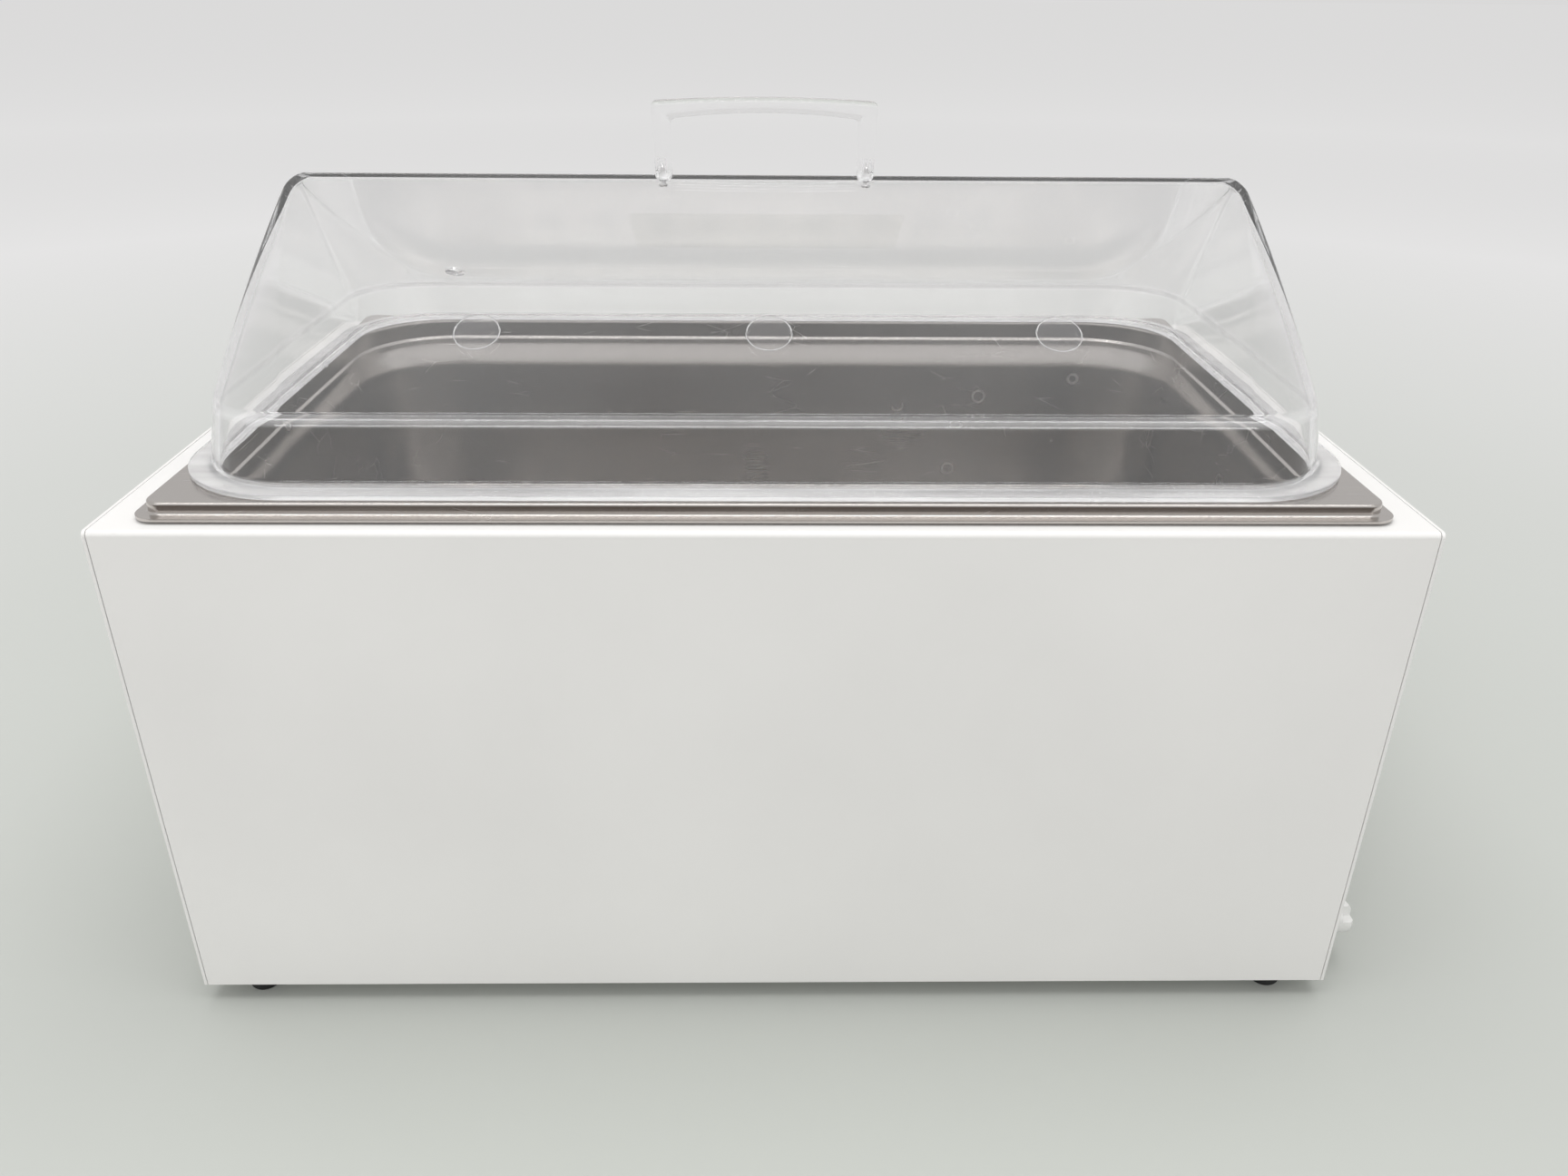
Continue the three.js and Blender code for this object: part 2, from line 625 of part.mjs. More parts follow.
function tapKnob() {
  const plug = rodX(TAP.bore - GAP, 277, knobBack + 1, tapSpot, 16);
  const round = rodX(TAP.radius, knobBack, knobFace - 1.6, tapSpot, 20);
  const face = new THREE.CylinderGeometry(TAP.radius - 1.8, TAP.radius, 1.7, 20)
    .rotateZ(-Math.PI / 2)
    .translate(knobFace - 0.85, ...tapSpot);
  return cut(join(plug, round, face),
    rodX(3, 276, nozzleX + 2.5, tapSpot, 12),
    new THREE.CylinderGeometry(3, 3, 10, 12).translate(nozzleX, tapY - 5, tapZ),
    box([knobFace - 6, tapY - 9, tapZ + 2.2], [knobFace + 1, tapY - 2.2, tapZ + 9]),
    box([knobFace - 6, tapY + 2.2, tapZ + 2.2], [knobFace + 1, tapY + 9, tapZ + 9]));
}

place("drain_tap_body", tapBody(), WHITE_PLASTIC);
place("drain_tap_nut", slabX(circle(13, 6, ...tapSpot), panelInner - GAP - 5, panelInner - GAP,
  [circle(7.6 + GAP, 20, ...tapSpot)]), WHITE_PLASTIC);
place("drain_tap_knob", tapKnob(), WHITE_PLASTIC);

// ---------------------------------------------------------------- mains inlet on the -X end
const inletFace = -endX - GAP - INLET.plate;
const socketFloor = inletFace + 18;
const drawerZ = INLET.z - INLET.drawerDrop;
const pins = { line: [-7, 4], neutral: [7, 4], earth: [0, 8] };

// A box behind the inlet's face, from its ends along X and its half sizes about a height.
function inletBox(low, high, halfY, lowZ, highZ, y = INLET.y) {
  return box([low, y - halfY, lowZ], [high, y + halfY, highZ]);
}

function inletHousing() {
  const outline = moved(roundedRing(25, 18, 3, 3), INLET.y, INLET.z);
  const plate = slabX(outline, inletFace, inletFace + INLET.plate);
  const body = inletBox(inletFace + 1, inletFace + 25, 13.7, INLET.z - 16.7, INLET.z + 16.7);
  const socket = inletBox(inletFace - 5, socketFloor, 12, INLET.z - 2, INLET.z + 14);
  const drawerWell = inletBox(inletFace - 5, inletFace + 23.5, 11, drawerZ - 4, drawerZ + 4);
  const slots = Object.values(pins).map(([y, z]) => inletBox(
    socketFloor - 1, socketFloor + 12, 1.3, INLET.z + z - 2.3, INLET.z + z + 2.3, INLET.y + y));
  return cut(join(plate, body), socket, drawerWell, ...slots);
}

place("mains_inlet", inletHousing(), BLACK_PLASTIC);
for (const [role, [y, z]] of Object.entries(pins)) {
  const length = role === "earth" ? 28 : 26;
  place(`inlet_pin_${role}`, new THREE.BoxGeometry(length, 2, 4), BRASS,
    [socketFloor + 12 - length / 2, INLET.y + y, INLET.z + z]);
}
const drawerFace = -endX - INLET.drawerReach;

function fuseDrawer() {
  const body = inletBox(drawerFace, drawerFace + 23.5, 10.7, drawerZ - 3.7, drawerZ + 3.7);
  const trough = inletBox(drawerFace + 2, drawerFace + 22.5, 2.9, drawerZ - 2.6, drawerZ + 6);
  const fingerNotch = inletBox(drawerFace - 1, drawerFace + 1, 6, drawerZ - 5, drawerZ - 2.4);
  return cut(body, trough, fingerNotch);
}

place("fuse_drawer", fuseDrawer(), BLACK_PLASTIC);
place("fuse", rodX(2.5, drawerFace + 2.4, drawerFace + 22.2, [INLET.y, drawerZ + 0.3], 12), BRASS);
place("rating_plate",
  slabX(moved(roundedRing(35, 20, 2, 2), -75, 65), -endX - GAP - 0.5, -endX - GAP), ALUMINIUM);

// ---------------------------------------------------------------- lid
const roofDrop = LID.wall / Math.cos(roofAngle);
const flangeTopZ = lidBottom + LID.flange;

// Height of the lid's outer roof surface above a distance out from the ridge line.
function roofHeight(distance) {
  return ridgeZ - (distance - LID.ridgeY) * Math.tan(roofAngle);
}

// A ring of the roof, from 0 at the crease to 1 at the ridge. Inward is the wall for the inner face.
// Its corner radius runs out towards the ridge, where the two ends curve over.
function roofRing(share, inward) {
  const below = (1 - share) * (ridgeZ - creaseZ);
  const over = Math.max(1 - below / LID.ridgeRound, 0);
  const curl = LID.ridgeRound * (1 - Math.sqrt(1 - over ** 2));
  const halfX = THREE.MathUtils.lerp(LID.creaseX, LID.ridgeX, share) - inward - curl;
  const halfY = THREE.MathUtils.lerp(LID.creaseY - inward * 0.85, LID.ridgeY, share);
  const cone = (LID.creaseRadius - inward) * (1 - share) ** LID.coneTaper;
  const radius = Math.min(Math.max(cone, 1), halfY - 0.1);
  const drop = inward > 0 ? THREE.MathUtils.lerp(roofDrop - 1.58, roofDrop, share) : 0;
  return ringAt(halfX, halfY, radius, ridgeZ - below - drop);
}

// A point some depth under the outer roof face. Side is -1 on the front slope and 1 on the back one.
function slopeSpot(side, x, distance, depth) {
  const y = side * (distance - depth * Math.sin(roofAngle));
  return [x, y, roofHeight(distance) - depth * Math.cos(roofAngle)];
}

function slopeDisc(side, x, distance, radius, thickness, depth, sides) {
  return new THREE.CylinderGeometry(radius, radius, thickness, sides)
    .rotateX(Math.PI / 2 - side * roofAngle)
    .translate(...slopeSpot(side, x, distance, depth));
}

const screwPlaces = [HANDLE.x - HANDLE.spacing / 2, HANDLE.x + HANDLE.spacing / 2];

function lidShell() {
  const shares = [0, 0.3, 0.6, 0.85, 0.95, 0.985, 1];
  const inner = LID.wall;
  const shell = loft([
    ...shares.map((share) => roofRing(share, inner)).reverse(),
    ringAt(LID.skirtX - inner, LID.skirtY - inner, LID.skirtRadius - inner, lidBottom),
    ringAt(LID.flangeX, LID.flangeY, LID.flangeRadius, lidBottom),
    ringAt(LID.flangeX, LID.flangeY, LID.flangeRadius, flangeTopZ),
    ringAt(LID.skirtX, LID.skirtY, LID.skirtRadius, flangeTopZ),
    ...shares.map((share) => roofRing(share, 0)),
  ]);
  const thermometerHole = slopeDisc(
    1, -LID.thermometerX, LID.thermometerY, LID.thermometerRadius, 12, LID.wall / 2, 16);
  const screwHoles = screwPlaces.map((x) => rodZ(HANDLE.screw + 0.4, ridgeZ - 12, ridgeZ + 5, [x, 0], 10));
  return cut(shell, thermometerHole, ...screwHoles);
}

place("lid_shell", lidShell(), CLEAR);

// Thin pieces that lie on the slopes: three clear discs on the front, and a blank label on the back.
const filmDepth = -LID.film / 2 - GAP - 0.05;
["left", "centre", "right"].forEach((role, index) => {
  const x = (index - 1) * LID.discPitch;
  place(`lid_disc_${role}`, slopeDisc(-1, x, LID.discY, LID.discRadius, LID.film, filmDepth, 24), CLEAR);
});
place("lid_label", new THREE.BoxGeometry(147, 47, LID.film), LABEL_FILM,
  slopeSpot(1, LID.labelX, LID.labelY, filmDepth), [-roofAngle, 0, 0]);

// One outline seen from the front: posts that taper to the ridge, and a bowed grip between them.
function lidHandle() {
  const half = (HANDLE.spacing + HANDLE.post) / 2;
  const inner = half - HANDLE.post;
  const footZ = ridgeZ - HANDLE.foot;
  const gripTop = ridgeZ + HANDLE.grip;
  const top = [];
  const under = [];
  for (let step = 0; step <= 10; step += 1) {
    const share = step / 5 - 1;
    const arch = 1 - share ** 2;
    top.push(new THREE.Vector2(half * share, gripTop + HANDLE.bow * arch));
    under.push(new THREE.Vector2(-inner * share, gripTop - HANDLE.bar + HANDLE.underBow * arch));
  }
  const outline = [
    new THREE.Vector2(HANDLE.taper - half, footZ),
    ...top,
    new THREE.Vector2(half - HANDLE.taper, footZ),
    new THREE.Vector2(inner, footZ),
    ...under,
    new THREE.Vector2(-inner, footZ),
  ];
  const loop = slab(outline, -HANDLE.depth / 2, HANDLE.depth / 2)
    .rotateX(Math.PI / 2)
    .translate(HANDLE.x, 0, 0);
  const screwRooms = screwPlaces.map((x) => rodZ(HANDLE.screw + 0.4, ridgeZ - 5, ridgeZ + 8, [x, 0], 10));
  return cut(loop, saddle(half + 5), ...screwRooms);
}

// What the ridge takes out of the handle's two feet, a little clear of the slopes.
function saddle(reach) {
  const peak = ridgeZ + 0.45;
  const spread = LID.ridgeY + 8;
  const eaves = peak - 8 * Math.tan(roofAngle);
  const half = [
    new THREE.Vector2(spread, peak - 20),
    new THREE.Vector2(spread, eaves),
    new THREE.Vector2(LID.ridgeY, peak),
  ];
  return slabX([...half, ...mirrored(half)], -reach, reach);
}

place("lid_handle", lidHandle(), CLEAR);
const headTop = ridgeZ - roofDrop - 1.5;
const lidScrew = turned([
  [0, headTop - 1.4],
  [HANDLE.screwHead, headTop - 1.4],
  [HANDLE.screwHead, headTop],
  [HANDLE.screw, headTop],
  [HANDLE.screw, ridgeZ + 3],
  [0, ridgeZ + 6.5],
], 10);
["left", "right"].forEach((role, index) => {
  place(`lid_handle_screw_${role}`, lidScrew, STEEL, [screwPlaces[index], 0, 0]);
});

// The bounding box runs from the fuse drawer to the tap knob, so the case sits a little to the -X side.
bath.position.x = (INLET.drawerReach - TAP.reach) / 2;

export default bath;
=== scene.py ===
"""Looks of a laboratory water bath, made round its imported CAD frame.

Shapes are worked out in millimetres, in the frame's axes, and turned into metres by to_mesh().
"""

import json
import math
import random

import bmesh
import bpy
from mathutils import Matrix, Vector

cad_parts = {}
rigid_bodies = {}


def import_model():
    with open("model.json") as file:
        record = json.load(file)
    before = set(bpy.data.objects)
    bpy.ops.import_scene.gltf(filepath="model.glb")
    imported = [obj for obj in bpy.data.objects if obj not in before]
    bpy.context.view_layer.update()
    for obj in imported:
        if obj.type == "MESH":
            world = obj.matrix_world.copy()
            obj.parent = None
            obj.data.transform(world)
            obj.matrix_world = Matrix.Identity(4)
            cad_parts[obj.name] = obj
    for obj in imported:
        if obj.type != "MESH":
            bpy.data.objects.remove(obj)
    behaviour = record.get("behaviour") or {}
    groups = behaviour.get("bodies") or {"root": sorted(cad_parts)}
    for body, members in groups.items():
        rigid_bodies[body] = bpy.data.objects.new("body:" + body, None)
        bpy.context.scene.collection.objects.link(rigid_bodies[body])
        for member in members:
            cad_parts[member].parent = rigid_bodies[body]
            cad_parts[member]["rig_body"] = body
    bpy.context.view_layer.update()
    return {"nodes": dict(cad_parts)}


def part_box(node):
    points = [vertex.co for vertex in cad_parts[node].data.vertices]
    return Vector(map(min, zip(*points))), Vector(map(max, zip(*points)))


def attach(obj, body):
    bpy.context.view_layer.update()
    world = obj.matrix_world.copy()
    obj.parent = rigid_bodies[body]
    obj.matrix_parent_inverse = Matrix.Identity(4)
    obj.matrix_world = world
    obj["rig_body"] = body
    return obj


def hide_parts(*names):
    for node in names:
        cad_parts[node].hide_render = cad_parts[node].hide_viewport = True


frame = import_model()

# ------------------------------------------------------------------ sizes and places
MM = 0.001


def span(node):
    """Lowest and highest corner of a CAD node, in millimetres."""
    low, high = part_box(node)
    return low / MM, high / MM


def middle(node):
    low, high = span(node)
    return (low + high) / 2


tank_low, tank_high = span("tank")
lid_low, lid_high = span("lid_shell")
wrap_low, wrap_high = span("case_wrap")
right_high = span("end_panel_right")[1]
left_low = span("end_panel_left")[0]
fascia_low, fascia_high = span("control_fascia")

CENTRE_X = (tank_low.x + tank_high.x) / 2
SIDE_Y = wrap_high.y
CASE_TOP = wrap_high.z
CASE_BOTTOM = wrap_low.z

SHEET = 1.2
RIM_OVERHANG = 15
RIM_RISER = 10.4
RIM_LIFT = 1.2
NECK_RADIUS = 52
NECK_X = tank_high.x - CENTRE_X - RIM_OVERHANG
NECK_Y = tank_high.y - RIM_OVERHANG
RIM_TOP = tank_high.z
TANK_FLOOR = tank_low.z + SHEET
FLOOR_RADIUS = 22
FLOOR_INSET = 8
SHOULDER_DROP = 17
STEP_DROP = 11

KNOB_BORE_END = 292.2 + CENTRE_X

LID_WALL = 3
FLANGE_X = lid_high.x - CENTRE_X
FLANGE_Y = lid_high.y
FLANGE_THICK = 2.5
FLANGE_RADIUS = 55
SKIRT_X = 249.5
SKIRT_Y = 147.8
SKIRT_RADIUS = 47
CREASE_RADIUS = 42
CREASE_Z = CASE_TOP + 35.6
RIDGE_X = 234.5
RIDGE_Y = 1.2
RIDGE_Z = lid_high.z
RIDGE_ROUND = 6.5
ROOF_BOW = 1.0
CREASE_X = 249
CREASE_Y = 132.8
ROOF_ANGLE = math.atan2(RIDGE_Z - CREASE_Z, CREASE_Y - RIDGE_Y)
DISC_RADIUS = 10.5
FILM_THICK = 0.5
FILM_GAP = 0.35
THERMOMETER_RADIUS = 5.75

CORNER_STEPS = 16


# ------------------------------------------------------------------ mesh helpers
def ring(half_x, half_y, radius, z, steps=CORNER_STEPS):
    """A level rounded rectangle round the case's centre line, anticlockwise from the +X side."""
    points = []
    for quarter, (sign_x, sign_y) in enumerate(((1, 1), (-1, 1), (-1, -1), (1, -1))):
        for step in range(steps + 1):
            angle = (quarter + step / steps) * math.pi / 2
            x = CENTRE_X + sign_x * (half_x - radius) + radius * math.cos(angle)
            y = sign_y * (half_y - radius) + radius * math.sin(angle)
            points.append(Vector((x, y, z)))
    return points


def outline(half_u, half_v, radius, steps=6, centre=(0, 0)):
    """A flat rounded rectangle as (u, v) pairs."""
    points = []
    for quarter, (sign_u, sign_v) in enumerate(((1, 1), (-1, 1), (-1, -1), (1, -1))):
        for step in range(steps + 1):
            angle = (quarter + step / steps) * math.pi / 2
            points.append((
                centre[0] + sign_u * (half_u - radius) + radius * math.cos(angle),
                centre[1] + sign_v * (half_v - radius) + radius * math.sin(angle)))
    return points


def disc(radius, sides, centre=(0, 0)):
    turns = [2 * math.pi * side / sides for side in range(sides)]
    return [(centre[0] + radius * math.cos(t), centre[1] + radius * math.sin(t)) for t in turns]


def softened(rings, reaches, steps=5):
    """The same rings, with each bend that has a reach eased into a curve of that reach either side."""
    made = []
    for index, (points, reach) in enumerate(zip(rings, reaches)):
        if reach <= 0 or index in (0, len(rings) - 1):
            made.append(points)
            continue
        for step in range(steps + 1):
            t = step / steps
            eased = []
            for before, here, after in zip(rings[index - 1], points, rings[index + 1]):
                back, ahead = before - here, after - here
                start = here + back * min(reach / max(back.length, 1e-6), 0.5)
                end = here + ahead * min(reach / max(ahead.length, 1e-6), 0.5)
                eased.append(start * (1 - t) ** 2 + here * (2 * t * (1 - t)) + end * t ** 2)
            made.append(eased)
    return made


def loft(rings, closed=False):
    """Points and faces of a skin through rings of equal count, capped at its two ends unless closed."""
    count = len(rings[0])
    points = [point for points in rings for point in points]
    faces = []
    levels = len(rings) if closed else len(rings) - 1
    for level in range(levels):
        low, high = level * count, (level + 1) % len(rings) * count
        for side in range(count):
            following = (side + 1) % count
            faces.append((low + side, low + following, high + following, high + side))
    if not closed:
        faces.append(tuple(reversed(range(count))))
        faces.append(tuple(range(len(points) - count, len(points))))
    return points, faces


def lathe(profile, sides=48, closed=False):
    """Points and faces turned about Z from (radius, height) pairs. An open profile ends on the axis."""
    points, faces, levels = [], [], []
    for radius, height in profile:
        if radius < 1e-6:
            levels.append([len(points)] * sides)
            points.append(Vector((0, 0, height)))
        else:
            levels.append(list(range(len(points), len(points) + sides)))
            points += [Vector((x, y, height)) for x, y in disc(radius, sides)]
    pairs = list(zip(levels, levels[1:] + levels[:1] if closed else levels[1:]))
    for low, high in pairs:
        for side in range(sides):
            following = (side + 1) % sides
            corners = (low[side], low[following], high[following], high[side])
            face = tuple(dict.fromkeys(corners))
            if len(face) > 2:
                faces.append(face)
    return points, faces


UP = Matrix.Identity(3)
ALONG_X = Matrix(((0, 0, 1), (0, 1, 0), (-1, 0, 0)))
ACROSS_X = Matrix(((0, 0, 1), (1, 0, 0), (0, 1, 0)))


def placed(shape, spot=(0, 0, 0), turn=UP):
    """A shape turned, then moved to its place."""
    points, faces = shape
    return [turn @ Vector(point) + Vector(spot) for point in points], faces


def joined(*shapes):
    points, faces = [], []
    for more_points, more_faces in shapes:
        base = len(points)
        points += more_points
        faces += [tuple(index + base for index in face) for face in more_faces]
    return points, faces


def block(low, high, turn=UP, spot=(0, 0, 0)):
    """A box between two corners."""
    corners = [(x, y, z) for z in (low[2], high[2]) for y in (low[1], high[1]) for x in (low[0], high[0])]
    faces = [(0, 2, 3, 1), (4, 5, 7, 6), (0, 1, 5, 4), (2, 6, 7, 3), (0, 4, 6, 2), (1, 3, 7, 5)]
    return placed(([Vector(corner) for corner in corners], faces), spot, turn)


def prism(points, low, high):
    """A flat (u, v) outline given thickness along the third axis."""
    rings = [[Vector((u, v, w)) for u, v in points] for w in (low, high)]
    return loft(rings)


def to_mesh(name, shape):
    points, faces = shape
    mesh = bpy.data.meshes.new(name)
    mesh.from_pydata([Vector(point) * MM for point in points], [], faces)
    tidy = bmesh.new()
    tidy.from_mesh(mesh)
    bmesh.ops.remove_doubles(tidy, verts=tidy.verts, dist=1e-7)
    bmesh.ops.recalc_face_normals(tidy, faces=tidy.faces)
    tidy.to_mesh(mesh)
    tidy.free()
    return mesh


def cut_mesh(mesh, cutters):
    """The mesh with each cutter shape taken away."""
    body = bpy.data.objects.new("cut_body", mesh)
    bpy.context.scene.collection.objects.link(body)
    tools = []
    for shape in cutters:
        tool = bpy.data.objects.new("cut_tool", to_mesh("cut_tool", shape))
        bpy.context.scene.collection.objects.link(tool)
        tools.append(tool)
        modifier = body.modifiers.new("cut", "BOOLEAN")
        modifier.operation = "DIFFERENCE"
        modifier.solver = "EXACT"
        modifier.object = tool
    evaluated = body.evaluated_get(bpy.context.evaluated_depsgraph_get())
    made = bpy.data.meshes.new_from_object(evaluated)
    for helper in (body, *tools):
        bpy.data.objects.remove(helper)
    return made


def eased_edges(mesh, width, angle=35, segments=2):
    """Rounds the edges sharper than angle."""
    work = bmesh.new()
    work.from_mesh(mesh)
    bmesh.ops.remove_doubles(work, verts=work.verts, dist=2e-6)
    bmesh.ops.dissolve_limit(work, angle_limit=math.radians(0.5), verts=work.verts, edges=work.edges)
    limit = math.radians(angle)
    sharp = [e for e in work.edges if len(e.link_faces) == 2 and e.calc_face_angle(0) > limit]
    bmesh.ops.bevel(
        work, geom=sharp, offset=width * MM, segments=segments, profile=0.5, affect="EDGES",
        clamp_overlap=True)
    work.to_mesh(mesh)
    work.free()
    return mesh


def make(name, mesh, material, body, replaces=(), smooth=38):
    """A finished piece of the bath, riding on its body."""
    mesh.name = name
    mesh.materials.clear()
    mesh.materials.append(material)
    mesh.shade_smooth()
    mesh.set_sharp_from_angle(angle=math.radians(smooth))
    piece = bpy.data.objects.new(name, mesh)
    bpy.context.scene.collection.objects.link(piece)
    weights = piece.modifiers.new("even_shading", "WEIGHTED_NORMAL")
    weights.mode = "FACE_AREA"
    weights.weight = 100
    weights.keep_sharp = True
    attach(piece, body)
    if replaces:
        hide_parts(*replaces)
    return piece


def from_shape(name, shape, material, body, replaces=(), edge=0.0, cutters=(), smooth=38):
    """A piece from a shape, with optional cuts and rounded edges."""
    mesh = to_mesh(name, shape)
    if cutters:
        mesh = cut_mesh(mesh, cutters)
    if edge > 0:
        mesh = eased_edges(mesh, edge)
    return make(name, mesh, material, body, replaces, smooth)


def refined(node, material, edge=0.25, name=None):
    """A piece with a CAD node's shape and softly rounded edges."""
    mesh = frame["nodes"][node].data.copy()
    body = frame["nodes"][node]["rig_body"]
    return make(name or f"{node}_finish", eased_edges(mesh, edge), material, body, (node,))


# ------------------------------------------------------------------ material helpers
class Shader:
    """A material with one Principled shader and a few shortcuts for its nodes."""

    def __init__(self, name):
        self.material = bpy.data.materials.new(name)
        self.material.use_nodes = True
        self.tree = self.material.node_tree
        self.surface = self.tree.nodes["Principled BSDF"]
        self.output = self.tree.nodes["Material Output"]
        self.place = self.put("ShaderNodeTexCoord").outputs["Object"]

    def put(self, kind, settings=None, **inputs):
        node = self.tree.nodes.new(kind)
        for key, value in (settings or {}).items():
            setattr(node, key, value)
        for key, value in inputs.items():
            self.feed(node.inputs[key.replace("_", " ")], value)
        return node

    def feed(self, socket, value):
        if isinstance(value, bpy.types.NodeSocket):
            self.tree.links.new(value, socket)
        else:
            socket.default_value = value

    def set(self, **inputs):
        for key, value in inputs.items():
            self.feed(self.surface.inputs[key.replace("_", " ")], value)

    def stretched(self, x, y, z):
        """The place, scaled differently along each axis."""
        return self.put("ShaderNodeMapping", Vector=self.place, Scale=(x, y, z)).outputs["Vector"]

    def noise(self, scale, detail=2, vector=None, distortion=0):
        node = self.put(
            "ShaderNodeTexNoise", Vector=vector or self.place, Scale=scale, Detail=detail,
            Distortion=distortion)
        return node.outputs["Fac"]

    def cells(self, scale, feature="F1", vector=None):
        node = self.put(
            "ShaderNodeTexVoronoi", {"feature": feature}, Vector=vector or self.place, Scale=scale)
        return node.outputs["Distance"]

    def ramp(self, value, start, end, low=0.0, high=1.0):
        """Value from start..end mapped to low..high, held at the ends."""
        node = self.put(
            "ShaderNodeMapRange", Value=value, From_Min=start, From_Max=end, To_Min=low, To_Max=high)
        return node.outputs["Result"]

    def math(self, operation, first, second=0.0):
        node = self.tree.nodes.new("ShaderNodeMath")
        node.operation = operation
        self.feed(node.inputs[0], first)
        self.feed(node.inputs[1], second)
        return node.outputs[0]

    def mix(self, factor, first, second):
        node = self.tree.nodes.new("ShaderNodeMix")
        node.data_type = "RGBA"
        self.feed(node.inputs[0], factor)
        self.feed(node.inputs[6], first)
        self.feed(node.inputs[7], second)
        return node.outputs[2]

    def bump(self, height, strength, distance):
        node = self.put("ShaderNodeBump", Height=height, Strength=strength, Distance=distance * MM)
        self.set(Normal=node.outputs["Normal"])


def colour(red, green, blue):
    """A colour for a socket from 0..255 display values."""
    def linear(value):
        share = value / 255
        return share / 12.92 if share <= 0.04045 else ((share + 0.055) / 1.055) ** 2.4
    return (linear(red), linear(green), linear(blue), 1)


# ------------------------------------------------------------------ materials
def powder_coat():
    """Off-white polyester powder coat with a faint orange peel and a few rubbed patches."""
    s = Shader("powder_coat_white")
    s.set(Base_Color=s.mix(s.ramp(s.noise(6, 3), 0.35, 0.65), colour(233, 232, 230), colour(229, 228, 226)))
    s.set(Roughness=s.ramp(s.noise(14, 4), 0.3, 0.7, 0.36, 0.46))
    s.bump(s.noise(620, 2), 0.10, 0.05)
    return s.material


def steel(name, tint, rough, marks=1.0, lower_darkening=None):
    """Stainless sheet: brushing along the length of each face, fine scratches and dried water marks.

    The last argument is a (low, high, tint): below the low height the sheet is darker, in that tint,
    blending back to its own tint by the high one, with the heights in millimetres.
    """
    s = Shader(name)
    facing = s.put("ShaderNodeSeparateXYZ", Vector=s.put("ShaderNodeTexCoord").outputs["Normal"])
    on_end = s.math("GREATER_THAN", s.math("ABSOLUTE", facing.outputs["X"]), 0.7)
    along = s.noise(1, 3, s.stretched(9, 2600, 2600))
    across = s.noise(1, 3, s.stretched(2600, 9, 2600))
    brush = s.mix(on_end, along, across)
    smudge = s.noise(9, 4, distortion=0.6)
    scratch_field = s.put(
        "ShaderNodeMapping", Vector=s.place, Scale=(26, 60, 90), Rotation=(0.3, 0.5, 0.7)).outputs["Vector"]
    scratch = s.ramp(s.cells(1, "DISTANCE_TO_EDGE", scratch_field), 0.0, 0.006, 1, 0)
    scratch = s.math("MULTIPLY", scratch, s.ramp(s.noise(40, 2), 0.56, 0.66))
    spot_distance = s.cells(34)
    spot = s.math("MULTIPLY", s.ramp(spot_distance, 0.10, 0.115), s.ramp(spot_distance, 0.13, 0.16, 1, 0))
    spot = s.math("MULTIPLY", spot, s.ramp(s.noise(17, 1), 0.55, 0.6))
    mark = s.math("MULTIPLY", s.math("MAXIMUM", scratch, spot), marks)
    tone = tint
    # Darker towards the bottom of the sheet, below the given heights.
    if lower_darkening:
        full_dark_height, own_tint_height, dark = lower_darkening
        height = s.put("ShaderNodeSeparateXYZ", Vector=s.place).outputs["Z"]
        tone = s.mix(s.ramp(height, full_dark_height * MM, own_tint_height * MM), dark, tint)
    tone = s.mix(s.math("MULTIPLY", brush, 0.16), tone, (0.2, 0.2, 0.2, 1))
    s.set(
        Metallic=1.0,
        Anisotropic=0.45,
        Base_Color=s.mix(s.math("MULTIPLY", mark, 0.5), tone, colour(236, 236, 236)))
    smudged = s.ramp(smudge, 0.3, 0.7, rough - 0.03, rough + 0.05)
    rough_now = s.math("ADD", smudged, s.ramp(brush, 0, 1, -0.04, 0.04))
    s.set(Roughness=s.math("ADD", rough_now, s.math("MULTIPLY", mark, 0.3)))
    s.bump(mark, 0.03, 0.02)
    tangent = s.put("ShaderNodeTangent", {"direction_type": "RADIAL", "axis": "Z"})
    s.set(Tangent=tangent.outputs["Tangent"])
    return s.material


def metal(name, tint, rough, grain=400):
    """Plain turned or plated metal with a fine even grain."""
    s = Shader(name)
    grains = s.noise(grain, 3)
    s.set(Metallic=1.0, Base_Color=s.mix(grains, tuple(0.85 * part for part in tint[:3]) + (1,), tint))
    s.set(Roughness=s.ramp(grains, 0.3, 0.7, rough - 0.06, rough + 0.08))
    s.bump(grains, 0.12, 0.03)
    return s.material


